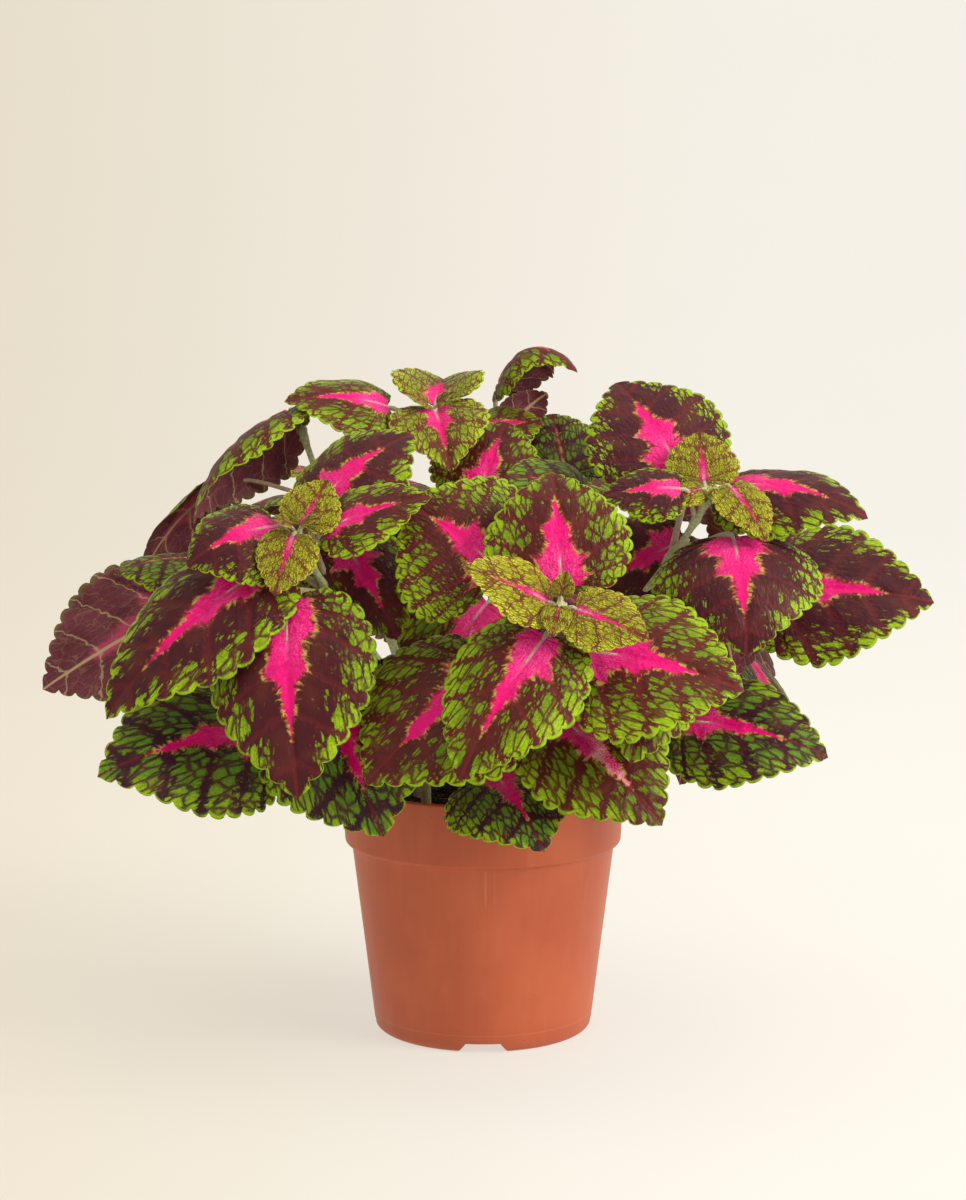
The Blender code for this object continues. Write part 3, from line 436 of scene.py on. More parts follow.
def leaves_by_rule(stems):
    rng = random.Random(7)
    leaves = []
    for shoot, rows in SHOOTS.items():
        for pair in rows.get("pairs", ()):
            below, length, width, rise_out, rise_in, stalk, age, angles = PAIRS[pair]
            joint, along = stems[shoot].at(below, 0.75)
            lean = unit(along * 0.6 + (0.0, 0.0, 0.5))
            for angle in angles:
                way = math.radians(rows["heading"] + angle + rng.uniform(-12, 12))
                radial = np.array((math.cos(way), math.sin(way), 0.0))
                radial = unit(radial - lean * (radial @ lean))
                outer = 0.5 + 0.5 * math.cos(math.radians(angle))
                rise = math.radians(rise_in + (rise_out - rise_in) * outer + rng.uniform(-6, 6))
                v = radial * math.cos(rise) + lean * math.sin(rise)
                base = joint + stalk * unit(v + lean * 0.4)
                size = rng.uniform(0.92, 1.06)
                tip = base + v * length * size * 0.93
                arch, fold = rng.uniform(0.10, 0.20), rng.uniform(-2, 8)
                curl, twist = rng.uniform(-45, -28), rng.uniform(-8, 8)
                leaves.append(Leaf(FIRST_BY_RULE + len(leaves), shoot, joint, base, tip, width * size, lean,
                                   arch, fold, curl, twist, age))
    return leaves


def skin(rings):
    """Closed tube through rings of points, with a flat cap at each end."""
    count, sides = rings.shape[:2]
    faces = [tuple(range(sides))[::-1], tuple((count - 1) * sides + j for j in range(sides))]
    for i in range(count - 1):
        for j in range(sides):
            k = (j + 1) % sides
            faces.append((i * sides + j, i * sides + k, (i + 1) * sides + k, (i + 1) * sides + j))
    return rings.reshape(-1, 3), faces


def tube_rings(curve, start_radius, end_radius, rings, sides):
    t = np.linspace(0, 1, rings)
    along = direction(curve, t, CURVE_STEP)
    across = (0.3, 1.0, 0.2) if abs(along[0][1]) < 0.8 else (1.0, 0.2, 0.3)
    a = np.cross(along, across)
    a /= np.linalg.norm(a, axis=1, keepdims=True)
    b = np.cross(along, a)
    w = (2 * np.pi * np.arange(sides) / sides)[None, :, None]
    r = (start_radius + (end_radius - start_radius) * t)[:, None, None]
    return bezier(curve, t)[:, None] + r * (np.cos(w) * a[:, None] + np.sin(w) * b[:, None])


# Leaves that moved in the part to come clear of others, by number. One that shows from the front moved
# by so many mm along the line of sight, at its base and at its tip. Another rose and swung by so many
# degrees and shrank to a share of its size. Some found no room and are left out.
SHIFTS = {2: (5, -5), 4: (11, 1), 16: (5, -5), 18: (-11, -1), 21: (-14, -4), 26: (-5, 5), 27: (8, -2),
          41: (5, -5), 44: (2, -8), 45: (5, -5), 46: (5, -5), 47: (4, 14), 48: (5, -5), 50: (14, 4)}
TURNS = {100: (8, 14, 0.95), 101: (-8, 0, 1.0), 103: (14, -24, 0.85), 104: (0, -10, 1.0),
         107: (0, 10, 1.0), 114: (8, 14, 0.95), 118: (8, 0, 1.0), 119: (-8, -14, 0.95),
         120: (14, 24, 0.85), 121: (16, 0, 0.5), 122: (0, 34, 0.8), 127: (8, 0, 1.0), 129: (8, 0, 1.0),
         133: (0, 0, 0.55), 134: (-16, 0, 1.0), 136: (16, 0, 1.0), 139: (-8, 0, 1.0), 140: (-8, 0, 1.0)}
LEFT_OUT = (102, 130, 131, 132)
STALK_TURN = 0.6


def settle(leaf):
    """Moves a leaf to the place that it has in the part."""
    if leaf.number in SHIFTS:
        at_base, at_tip = SHIFTS[leaf.number]
        sight = unit((leaf.base + leaf.tip) / 2 - EYE)
        leaf.base = leaf.base + sight * at_base
        leaf.tip = leaf.tip + sight * at_tip
        leaf.shape()
    elif leaf.number in TURNS:
        rise, swing, scale = TURNS[leaf.number]
        stalk, blade, face = leaf.base - leaf.joint, leaf.tip - leaf.base, leaf.face
        side = np.cross(unit(blade), unit(face))
        stalk = turned(turned(stalk, side, rise * STALK_TURN), face, swing * STALK_TURN)
        leaf.base = leaf.joint + stalk * scale
        leaf.tip = leaf.base + turned(turned(blade, side, rise), face, swing) * scale
        leaf.face = turned(face, side, rise)
        leaf.width *= scale
        leaf.shape()


def make_layout():
    stems = {name: Stem(rows["foot"], rows["apex"]) for name, rows in SHOOTS.items()}
    leaves = leaves_by_list(stems) + leaves_by_rule(stems)
    for leaf in leaves:
        settle(leaf)
    return stems, [leaf for leaf in leaves if leaf.number not in LEFT_OUT]


class Wire:
    """A node's output that takes part in sums, so that a formula reads as one."""

    def __init__(self, graph, socket):
        self.graph, self.socket = graph, socket

    def __add__(self, other):
        return self.graph.math("ADD", self, other)

    def __sub__(self, other):
        return self.graph.math("SUBTRACT", self, other)

    def __rsub__(self, other):
        return self.graph.math("SUBTRACT", other, self)

    def __mul__(self, other):
        return self.graph.math("MULTIPLY", self, other)

    def __truediv__(self, other):
        return self.graph.math("DIVIDE", self, other)

    def __pow__(self, other):
        return self.graph.math("POWER", self, other)

    __radd__, __rmul__ = __add__, __mul__


class Graph:
    """A material round one Principled shader, with a short call for each kind of node."""

    def __init__(self, name, **constants):
        self.material = bpy.data.materials.new(name)
        self.material.use_nodes = True
        self.nodes, self.links = self.material.node_tree.nodes, self.material.node_tree.links
        self.shader = self.nodes["Principled BSDF"]
        for socket, value in constants.items():
            self.shader.inputs[socket.replace("_", " ")].default_value = value

    def node(self, kind, inputs, output=0, **settings):
        node = self.nodes.new("ShaderNode" + kind)
        for key, value in settings.items():
            setattr(node, key, value)
        for key, value in inputs.items():
            if isinstance(value, Wire):
                self.links.new(value.socket, node.inputs[key])
            else:
                node.inputs[key].default_value = value
        return Wire(self, node.outputs[output])

    def math(self, operation, a, b=0.0):
        return self.node("Math", {0: a, 1: b}, operation=operation)

    def least(self, a, b):
        return self.math("MINIMUM", a, b)

    def most(self, a, b):
        return self.math("MAXIMUM", a, b)

    def smooth(self, value, low, high, start=0.0, end=1.0):
        """Rises smoothly from start to end while the value goes from low to high."""
        inputs = {0: value, 1: low, 2: high, 3: start, 4: end}
        return self.node("MapRange", inputs, interpolation_type="SMOOTHSTEP")

    def mix(self, share, a, b):
        return self.node("Mix", {0: share, 6: a, 7: b}, 2, data_type="RGBA")

    def ramp(self, value, stops):
        """Numbers along a value from 0 to 1."""
        wire = self.node("ValToRGB", {0: value})
        elements = wire.socket.node.color_ramp.elements
        for place, _ in stops[2:]:
            elements.new(place)
        for element, (place, number) in zip(elements, stops):
            element.position = place
            element.color = (number, number, number, 1)
        return wire

    def noise(self, at, scale, detail=2.0):
        return self.node("TexNoise", {"Vector": at, "Scale": scale, "Detail": detail})

    def cells(self, at):
        """Distance to the nearest edge of a net of cells."""
        return self.node("TexVoronoi", {"Vector": at, "Scale": 1.0}, feature="DISTANCE_TO_EDGE")

    def chance(self, number):
        return self.node("TexWhiteNoise", {"W": number}, noise_dimensions="1D")

    def vector(self, x, y, z):
        return self.node("CombineXYZ", {0: x, 1: y, 2: z})

    def parts(self, vector):
        first = self.node("SeparateXYZ", {0: vector})
        return [Wire(self, output) for output in first.socket.node.outputs]

    def attribute(self, name):
        return self.node("Attribute", {}, 1, attribute_name=name)

    def place(self):
        """Point on the object, in metres."""
        return self.node("TexCoord", {}, 3)

    def bump(self, height, strength, distance):
        inputs = {"Height": height, "Strength": strength, "Distance": distance}
        return self.node("Bump", inputs)

    def finish(self, colour, roughness=None, normal=None):
        for socket, wire in (("Base Color", colour), ("Roughness", roughness), ("Normal", normal)):
            if wire is not None:
                self.links.new(wire.socket, self.shader.inputs[socket])
        return self.material


def colour(red, green, blue):
    """A picture's colour, 0 to 255, as linear light."""
    def linear(value):
        share = value / 255
        return share / 12.92 if share <= 0.04045 else ((share + 0.055) / 1.055) ** 2.4
    return linear(red), linear(green), linear(blue), 1.0


def vein_wires(g):
    """What leaf materials share: places on the blade, its veins and net, and how far pink reaches."""
    x, y, seed = g.parts(g.attribute("leaf_at"))
    count, run, way = g.parts(g.attribute("leaf_vein"))
    age, pinkness, across = g.parts(g.attribute("leaf_kind"))
    green, pale, _ = g.parts(g.attribute("leaf_tone"))
    at = g.vector(x, y, seed)
    drift = g.noise(at, 0.3, 2.0) - 0.5
    count = count + drift * 0.3
    vein = g.math("ABSOLUTE", g.math("FRACT", count + 0.5) - 0.5) * 2
    luck = g.chance(g.math("FLOOR", count + 0.5) * 1.7 + g.math("SIGN", y) * 40 + seed)
    spike = (1 - vein) ** 1.3 * (luck + 0.1) * g.ramp(way, PINK_SPIKES)
    feather = g.noise(g.vector(count * 13, run * 2.4, seed), 1.0, 2.0) - 0.5
    reach = (g.ramp(way, PINK_REACH) + spike) * pinkness + feather * 0.22 * g.least(pinkness * 4, 1)
    edge = reach - across - (g.smooth(way, 0.66, 0.86) * 0.2 + 0.02)
    coarse = g.cells(g.vector(count * COARSE_NET[0], run * COARSE_NET[1], seed))
    fine = g.cells(g.vector(count * FINE_NET[0], run * FINE_NET[1], seed + 9))
    return SimpleNamespace(y=y, at=at, way=way, age=age, across=across, green=green, pale=pale, vein=vein,
                           edge=edge, coarse=coarse, fine=fine, feather=feather, drift=drift)


def leaf_top_material():
    """Upper side: pink centre with a pale fringe, dark field, and green showing between the veins."""
    g = Graph("leaf_top", Roughness=0.5, Sheen_Weight=0.08, Sheen_Roughness=0.4,
              Sheen_Tint=colour(225, 205, 215), Specular_IOR_Level=0.2)
    w = vein_wires(g)
    w.patch = g.noise(w.at, 0.09, 1.0)
    w.grain = g.noise(w.at, 1.6, 1.0)
    w.young = g.smooth(w.age, 0.45, 0.2)
    w.wide = g.smooth(w.age, 0.6, 1.0) * 0.07
    w.side_line = g.smooth(w.vein * (w.across * 4.5 + 3.6) * (w.young * 1.2 + 1), 1.1 + w.wide * 8, 0.3)
    w.rim = g.smooth(w.across + (w.patch - 0.5) * 0.08, 0.945, 0.985)
    w.rib = g.smooth(g.math("ABSOLUTE", w.y), 1.0, 0.35)

    base = g.mix(green_shown(g, w), dark_field(g, w), lime(g, w))
    vein_tone = g.mix(g.smooth(w.age, 0.85, 0.95), colour(112, 30, 34), colour(58, 16, 38))
    base = g.mix(w.side_line * 0.4 * (1 - w.rim), base, vein_tone)
    base = g.mix(w.rib * 0.55, base, colour(116, 34, 38))
    base = with_pink_centre(g, w, base)

    quilt = g.smooth(w.vein, 0.0, 0.7) * 1.6
    cushion = g.least(w.coarse, 0.3) * 1.8 + g.least(w.fine, 0.25) * (w.young * 2.6 + 0.5)
    bulge = quilt + cushion + g.noise(w.at, 0.6, 1.0) * 0.8
    rough = g.smooth(w.grain, 0.2, 0.8, 0.42, 0.58)
    return g.finish(base, rough, g.bump(bulge, w.young * 0.4 + 0.5, 0.0006))


def dark_field(g, w):
    """Dark red, browner in green leaves, duller in old ones and olive in young ones, with blotches."""
    red = g.mix(g.smooth(w.green, 0.3, 0.8), colour(70, 18, 30), colour(86, 26, 18))
    grown = g.mix(g.smooth(w.age, 0.88, 1.0), red, colour(60, 22, 36))
    field = g.mix(w.young, grown, colour(124, 70, 40))
    blotch = g.mix(w.young, colour(106, 48, 34), colour(132, 92, 36))
    return g.mix(g.smooth(w.patch, 0.4, 0.7) * 0.4, field, blotch)


def lime(g, w):
    """Green of the islands, brighter towards the margin."""
    grown = g.mix(w.young, colour(108, 142, 4), colour(174, 184, 20))
    tint = g.mix(g.smooth(w.age, 0.85, 1.0), grown, colour(100, 146, 26))
    bright = g.mix(w.young, colour(158, 196, 10), colour(208, 214, 50))
    return g.mix(g.smooth(w.across + (w.grain - 0.5) * 0.5, 0.55, 1.0), tint, bright)


def green_shown(g, w):
    """How much green shows: where the score of a place passes one, cut by the net's lines, and on the rim.

    The score rises between veins, towards the middle of cells and towards the margin.
    """
    start = w.green * -0.95 + 0.62
    near = g.smooth(w.across + (w.patch - 0.5) * 0.4, start, start + 0.75) * 0.92 - 0.35
    between = g.smooth(w.vein, 0.05, 0.6) * 0.36
    middle = g.smooth(w.coarse, 0.03, 0.34) * 0.44
    small = g.smooth(w.fine, 0.02, 0.3) * 0.42
    island = g.smooth(near + between + middle + small + (w.grain - 0.5) * 0.3, 0.74, 1.16)
    net_line = g.smooth(w.coarse, w.young * -0.08 + 0.18 + w.wide, 0.0) * 0.95
    fine_line = g.smooth(w.fine, w.young * -0.03 + 0.15, 0.0) * (w.young * 0.45 + 0.4)
    lines = g.most(g.most(w.side_line, net_line), fine_line)
    return g.most(island * (1 - lines * 0.95), w.rim * (1 - w.side_line * 0.3))


def with_pink_centre(g, w, base):
    """Lays the pink centre and its feathery fringe over a leaf's colour."""
    tone = g.smooth(w.drift + w.feather * 0.6, -0.06, 0.14)
    fringe = g.smooth(w.edge, -0.085, -0.004) * g.smooth(w.grain + w.drift, 0.2, 0.6, 0.25, 0.8)
    base = g.mix(fringe, base, g.mix(tone, colour(198, 52, 74), colour(214, 186, 88)))
    speck = g.smooth(w.grain + w.patch * 0.4, 0.66, 0.9) * g.smooth(w.way, 0.45, 0.1)
    pink = g.mix(speck * 0.5, colour(238, 0, 122), colour(246, 110, 180))
    mottle = g.smooth(w.fine, 0.05, 0.3) * g.smooth(w.way, 0.6, 0.1) * 0.22
    pink = g.mix(mottle, pink, colour(250, 120, 190))
    pink = g.mix(g.smooth(w.vein, 0.16, 0.03) * 0.3, pink, colour(186, 0, 96))
    white = g.smooth(w.patch + w.grain * 0.35, 0.6, 0.85) * w.pale * g.smooth(w.way, 0.15, 0.4)
    faded = g.mix(w.pale * 0.25, pink, colour(232, 70, 130))
    pink = g.mix(white * 0.85, faded, colour(250, 226, 206))
    base = g.mix(g.smooth(w.edge, -0.006, 0.016), base, pink)
    pale_rib = w.rib * g.smooth(w.edge, 0.0, 0.05) * g.smooth(w.way, 0.35, 0.0)
    return g.mix(pale_rib, base, colour(240, 150, 180))


def leaf_under_material():
    """Underside: dull maroon with a pink centre, and a pale raised net of veins."""
    g = Graph("leaf_under", Roughness=0.6, Sheen_Weight=0.12, Sheen_Roughness=0.5,
              Sheen_Tint=colour(225, 205, 210), Specular_IOR_Level=0.18)
    w = vein_wires(g)
    grain = g.noise(w.at, 1.6, 3.0)
    patch = g.noise(w.at, 0.08)
    base = g.mix(g.smooth(grain, 0.3, 0.7), colour(112, 52, 66), colour(134, 72, 84))
    base = g.mix(g.smooth(patch, 0.4, 0.65) * 0.6, base, colour(92, 36, 48))
    base = g.mix(g.smooth(w.across, 0.9, 1.0) * 0.6, base, colour(112, 122, 48))
    base = g.mix(g.smooth(w.edge, -0.12, 0.06) * 0.8, base, colour(208, 78, 122))
    net_line = g.smooth(w.coarse, 0.045, 0.01) * 0.16
    side_line = g.smooth(w.vein * (w.across * 9 + 9), 0.95, 0.4) * 0.7
    rib = g.smooth(g.math("ABSOLUTE", w.y) + w.way * 0.5, 1.1, 0.6)
    lines = g.most(g.most(net_line, side_line), rib)
    base = g.mix(lines, base, colour(198, 176, 132))
    height = g.most(g.smooth(w.coarse, 0.10, 0.0) * 0.5, side_line) + grain * 0.15
    return g.finish(base, None, g.bump(height, 0.5, 0.0005))


def stem_material():
    """Pale green, watery stems with fine streaks, and purple tints in places."""
    g = Graph("stem", Roughness=0.45, Specular_IOR_Level=0.4, Sheen_Weight=0.15,
              Sheen_Tint=colour(230, 235, 220))
    pinkness, _, _ = g.parts(g.attribute("stem_kind"))
    streaks = g.noise(g.place(), 900.0, 3.0)
    patch = g.noise(g.place(), 45.0)
    base = g.mix(g.smooth(streaks, 0.3, 0.7), colour(160, 174, 112), colour(206, 212, 170))
    base = g.mix(g.smooth(patch, 0.55, 0.75) * 0.4, base, colour(150, 100, 96))
    base = g.mix(pinkness * 0.35, base, colour(206, 120, 140))
    return g.finish(base, g.smooth(streaks, 0.2, 0.8, 0.36, 0.52), g.bump(streaks, 0.12, 0.0003))


def pot_material():
    """Terracotta coloured plastic, moulded satin, with faint flow marks, a little dust, and painted shade
    at the foot.
    """
    g = Graph("pot_plastic", Roughness=0.5, Specular_IOR_Level=0.45)
    at = g.place()
    x, y, z = g.parts(at)
    mottle = g.noise(at, 28.0, 4.0)
    grain = g.noise(at, 1500.0, 2.0)
    flow = g.noise(g.vector(x, y, z * 0.12), 130.0, 3.0)
    base = g.mix(g.smooth(mottle, 0.35, 0.7), colour(180, 82, 46), colour(190, 92, 54))
    base = g.mix(g.smooth(flow, 0.45, 0.75) * 0.22, base, colour(202, 110, 70))
    # Painted shade: the lowest 12 mm of the pot, by the floor, goes a quarter of the way to a darker brown
    base = g.mix(g.smooth(z, 0.012, 0.001) * 0.25, base, colour(150, 72, 48))
    speck = g.node("TexVoronoi", {"Vector": at, "Scale": 95.0})
    base = g.mix(g.smooth(speck, 0.05, 0.02) * 0.5, base, colour(112, 50, 34))
    dust = g.node("TexVoronoi", {"Vector": at, "Scale": 34.0})
    base = g.mix(g.smooth(dust, 0.014, 0.008) * 0.8, base, colour(236, 226, 214))

    # Two faint mould seams below the band at the front, and the mould's parting ring near the foot
    def line_at(value, middle, half):
        return g.smooth(g.math("ABSOLUTE", value - middle), *half)
    seams = g.most(line_at(x, 0.0009, (0.0007, 0.0002)), line_at(x, 0.0046, (0.0006, 0.0002)) * 0.5)
    seams = seams * g.smooth(z, 0.060, 0.070) * g.smooth(z, 0.0805, 0.079) * g.smooth(y, -0.03, -0.045)
    marks = g.most(seams, line_at(z, 0.0075, (0.0005, 0.0001)) * 0.6)
    base = g.mix(marks * 0.3, base, colour(214, 128, 90))
    rough = g.smooth(mottle + grain * 0.3, 0.3, 1.0, 0.40, 0.54)
    return g.finish(base, rough, g.bump(grain * 0.4 + flow * 0.5 + marks * 1.5, 0.22, 0.0004))


def soil_material():
    """Moist peat: dark crumbs with brown fibres."""
    g = Graph("peat", Roughness=0.9, Specular_IOR_Level=0.25)
    at = g.place()
    clumps = g.noise(at, 260.0, 5.0)
    fine = g.noise(at, 1400.0, 3.0)
    base = g.mix(g.smooth(clumps, 0.35, 0.7), colour(30, 22, 18), colour(72, 54, 42))
    base = g.mix(g.smooth(fine, 0.62, 0.75) * 0.6, base, colour(104, 82, 60))
    return g.finish(base, g.smooth(fine, 0.3, 0.7, 0.8, 0.98), g.bump(clumps + fine * 0.4, 0.9, 0.002))


def fibre_material():
    """Brown plant fibres in the peat."""
    g = Graph("peat_fibre", Roughness=0.85)
    streak = g.noise(g.place(), 500.0, 3.0)
    base = g.mix(g.smooth(streak, 0.3, 0.7), colour(86, 64, 44), colour(140, 112, 78))
    return g.finish(base, None, g.bump(streak, 0.5, 0.0003))


def mesh_object(name, verts, faces, materials, face_materials=None):
    """Object with smooth shading, from points in mm."""
    mesh = bpy.data.meshes.new(name)
    mesh.from_pydata((np.asarray(verts) * MM).tolist(), [], faces)
    for material in materials:
        mesh.materials.append(material)
    if face_materials is not None:
        mesh.polygons.foreach_set("material_index", face_materials)
    mesh.shade_smooth()
    obj = bpy.data.objects.new(name, mesh)
    bpy.context.scene.collection.objects.link(obj)
    return obj


def merged(skins):
    """Points and faces of several skins as one."""
    verts, faces, start = [], [], 0
    for points, own_faces in skins:
        verts.append(np.asarray(points))
        faces += [tuple(i + start for i in face) for face in own_faces]
        start += len(points)
    return np.concatenate(verts), faces


def point_attribute(obj, name, values):
    attribute = obj.data.attributes.new(name, "FLOAT_VECTOR", "POINT")
    attribute.data.foreach_set("vector", np.asarray(values, np.float32).ravel())


def fine_teeth(leaf):
    return next(teeth for width, teeth in TEETH_BY_WIDTH if leaf.width >= width)


def pink_share(leaf):
    """How far pink reaches in a leaf: little in the youngest ones, and less in the oldest again."""
    low, high = PLAIN_AGES
    return 0.0 if low < leaf.age < high else float(np.interp(leaf.age, *PINK_BY_AGE))


def green_share(leaf):
    """How green a leaf is, 0 to 1, and how pale its pink: the stems in most light are the darkest."""
    rng = random.Random(leaf.number)
    own = GREEN_OF_SHOOT.get(leaf.shoot, GREEN_ELSEWHERE) + rng.uniform(-0.08, 0.08)
    young = float(np.interp(leaf.age, (0.2, 0.42), (1.0, 0.0)))
    old = float(np.interp(leaf.age, (0.8, 0.92), (0.0, 1.0)))
    return max(own, young, old), old * (leaf.age < 0.93)


def blade_rows(teeth):
    """Shares of the outline at which a blade has a row of points, several to a tooth."""
    step = (1 - FIRST_TOOTH) / teeth
    shares = [0.0, FIRST_TOOTH * 0.35, FIRST_TOOTH * 0.7]
    return np.array(shares + [FIRST_TOOTH + step * (k + f) for k in range(teeth) for f in TOOTH_STEPS])


def blade_faces(rows, columns, tip):
    """Faces of a blade, and the side that each is on: 0 the upper one, 1 the under one."""
    top = np.arange(rows * columns).reshape(rows, columns)
    low = top.copy()
    low[:, 1:-1] = rows * columns + np.arange(rows * (columns - 2)).reshape(rows, columns - 2)
    faces, sides = [], []
    for index, side in ((top, 0), (low, 1)):
        quads = np.stack([index[:-1, :-1], index[:-1, 1:], index[1:, 1:], index[1:, :-1]], axis=-1)
        made = quads.reshape(-1, 4).tolist()
        made += [[a, b, tip] for a, b in zip(index[-1, :-1].tolist(), index[-1, 1:].tolist())]
        faces += [tuple(face if side else face[::-1]) for face in made]
        sides += [side] * len(made)
    first = np.stack([top[0, :-1], top[0, 1:], low[0, 1:], low[0, :-1]], axis=-1).tolist()
    faces += [tuple(dict.fromkeys(quad)) for quad in first]
    return faces, sides + [0] * (columns - 1)


def fine_blade(leaf):
    """A blade's points, its faces with the side of each, and the values that its materials read."""
    teeth = fine_teeth(leaf)
    s = blade_rows(teeth)
    across = np.array([-a for a in ACROSS[:0:-1]] + list(ACROSS))
    j = np.abs(across)[None]

    # Places: each row runs from its point on the midrib out and forward to both edges
    rim = edge(s, teeth, FINE_TOOTH)
    lead = np.clip(rim[:, 0] - 0.3 * rim[:, 1], 0, 1)
    before_tip = np.clip((1 - s) * 12, 0, 1)
    rib = 0.12 * s + 0.88 * (lead * before_tip + s * (1 - before_tip))
    x = rib[:, None] + (rim[:, 0] - rib)[:, None] * j**1.2
    y = rim[:, 1][:, None] * across[None]
    y_mm = y * leaf.width / 2

    # Veins: how many lie before a place, how far it is from the nearest, and how far out along it
    count = tooth_count(s, teeth)
    veins = ((count + 0.5) / TEETH_PER_VEIN)[:, None] + np.zeros_like(x)
    off = np.abs(np.mod(veins + 0.5, 1) - 0.5) * 2
    spacing = leaf.length * TEETH_PER_VEIN / teeth / 2
    run = np.abs(y_mm) * VEIN_SLANT / (2 * spacing)

    # Relief: grooves along the side veins and the midrib, a bulge on each tooth, and ripples
    body = np.sin(np.pi * j) ** 0.5 * np.clip((1 - s[:, None]) * 6, 0, 1)
    relief = -VEIN_GROOVE * np.exp(-(off * spacing / VEIN_GROOVE_WIDTH) ** 2) * body
    relief -= RIB_GROOVE * np.exp(-(y_mm / RIB_GROOVE_WIDTH) ** 2) * np.clip((1 - x) * 4, 0, 1)
    relief += LOBE_BULGE * (np.sin(np.pi * np.mod(count, 1)) ** 2)[:, None] * j**3 * (1 - j**6)
    relief += RIPPLE * np.sin((veins + run) * RIPPLE_RATE + leaf.number) * body
    relief *= leaf.length / FULL_LENGTH

    middle, normal = leaf.place(x, y)
    tip, _ = leaf.place(np.array([1.0]), np.array([0.0]))
    thick = BLADE_THICK * (1 - j**8)
    upper = middle + normal * (relief + thick / 2)[..., None]
    under = middle + normal * (relief - thick / 2)[..., None]
    verts = np.concatenate([upper.reshape(-1, 3), under[:, 1:-1].reshape(-1, 3), tip])
    faces, sides = blade_faces(*x.shape, len(verts) - 1)

    def at_points(*fields):
        """Fields over the upper side's grid, each with its value at the tip, as columns at all points."""
        columns = []
        for field, tip_value in fields:
            field = np.broadcast_to(field, x.shape)
            columns.append(np.concatenate([field.ravel(), field[:, 1:-1].ravel(), [tip_value]]))
        return np.stack(columns, axis=1)

    seed, pinkness = leaf.number * 3.7 + 11, pink_share(leaf)
    green, pale = green_share(leaf)
    values = (at_points((x * leaf.length, leaf.length), (y_mm, 0), (seed, seed)),
              at_points((veins, veins[-1, 0] + 0.5), (run, 0), (rib[:, None], 1.0)),
              at_points((leaf.age, leaf.age), (pinkness, pinkness), (j, 1.0)),
              at_points((green, green), (pale, pale), (0, 0)))
    return verts, faces, sides, values


def rounded_square(count):
    """Ring of points on a square with well rounded corners."""
    angles = 2 * np.pi * (np.arange(count) + 0.5) / count
    c, s = np.cos(angles), np.sin(angles)
    r = (np.abs(c) ** 4 + np.abs(s) ** 4) ** -0.25
    return np.stack([c * r, s * r], axis=1)


def tube(points, radii, ring, up):
    """Closed skin round a line of points, with a given ring of points about each."""
    points = np.asarray(points, float)
    along = np.gradient(points, axis=0)
    along /= np.linalg.norm(along, axis=1, keepdims=True)
    side = np.cross(along, up)
    side /= np.linalg.norm(side, axis=1, keepdims=True)
    top = np.cross(side, along)
    offsets = side[:, None] * ring[None, :, :1] + top[:, None] * ring[None, :, 1:]
    return skin(points[:, None] + np.asarray(radii)[:, None, None] * offsets)


def fine_stalk(leaf):
    """Leafstalk, which runs on as a ridge under the first part of the midrib."""
    radius = leaf.stalk_radius()
    middle, normal = leaf.place(RIDGE_WAY, np.zeros(len(RIDGE_WAY)))
    ridge = middle - normal * (radius * np.array(RIDGE_SUNK))[:, None]
    way = np.linspace(STALK_START, 1.0, STALK_SAMPLES)
    line = np.concatenate([ridge, bezier(leaf.stalk_curve(), way)])
    radii = radius * np.concatenate([RIDGE_RADII, np.interp(way, *STALK_THICKNESS)])
    steep = abs(unit(leaf.base - leaf.joint)[2]) >= 0.9
    up = np.array((1.0, 0.2, 0.1) if steep else (0.13, 0.31, 1.0))
    return tube(line, radii, rounded_square(8) * 0.94, up)


def fine_stem(stem, joints):
    """Stem with rounded corners, a little thicker at each pair's joint."""
    t = np.linspace(0, 1, STEM_SAMPLES)
    line = bezier(stem.curve, t)
    line = np.concatenate([[line[0] - (0, 0, STEM_START + STEM_SUNK - 1)], line])
    t = np.concatenate([[0.0], t])
    radii = STEM_RADIUS + (STEM_TIP_RADIUS - STEM_RADIUS) * t
    for joint in joints:
        radii = radii + JOINT_SWELL * np.exp(-(np.linalg.norm(line - joint, axis=1) / JOINT_REACH) ** 2)
    radii = np.minimum(radii, STEM_RADIUS + JOINT_SWELL)
    radii[:2] = STEM_RADIUS * 0.98
    return tube(line, radii, rounded_square(12) * 0.9, np.array((0.2, 1.0, 0.15)))


def atlas(obj, counts):
    """Spreads the faces of each leaf's two sides over squares of their own, for baking."""
    mesh = obj.data
    at = np.empty(len(mesh.vertices) * 3, np.float32)
    mesh.attributes["leaf_at"].data.foreach_get("vector", at)
    at = at.reshape(-1, 3)[:, :2]
    corners = np.empty(len(mesh.loops), np.int32)
    mesh.loops.foreach_get("vertex_index", corners)
    starts = np.empty(len(mesh.polygons), np.int32)
    mesh.polygons.foreach_get("loop_start", starts)
    side = np.empty(len(mesh.polygons), np.int32)
    mesh.polygons.foreach_get("material_index", side)
    side = np.repeat(side, np.diff(np.append(starts, len(corners))))
    first = np.concatenate([[0], np.cumsum(counts)[:-1]])
    low, high = np.minimum.reduceat(at, first), np.maximum.reduceat(at, first)
    leaf = np.repeat(np.arange(len(counts)), counts)[corners]
    share = (at[corners] - low[leaf]) / (high[leaf] - low[leaf])
    per_row = math.ceil(math.sqrt(2 * len(counts)))
    cell = side + 2 * leaf
    square = np.stack([cell % per_row, cell // per_row], axis=1)
    uv = (square + 0.03 + 0.94 * share) / per_row
    mesh.uv_layers.new(name="OFBake").data.foreach_set("uv", uv.astype(np.float32).ravel())


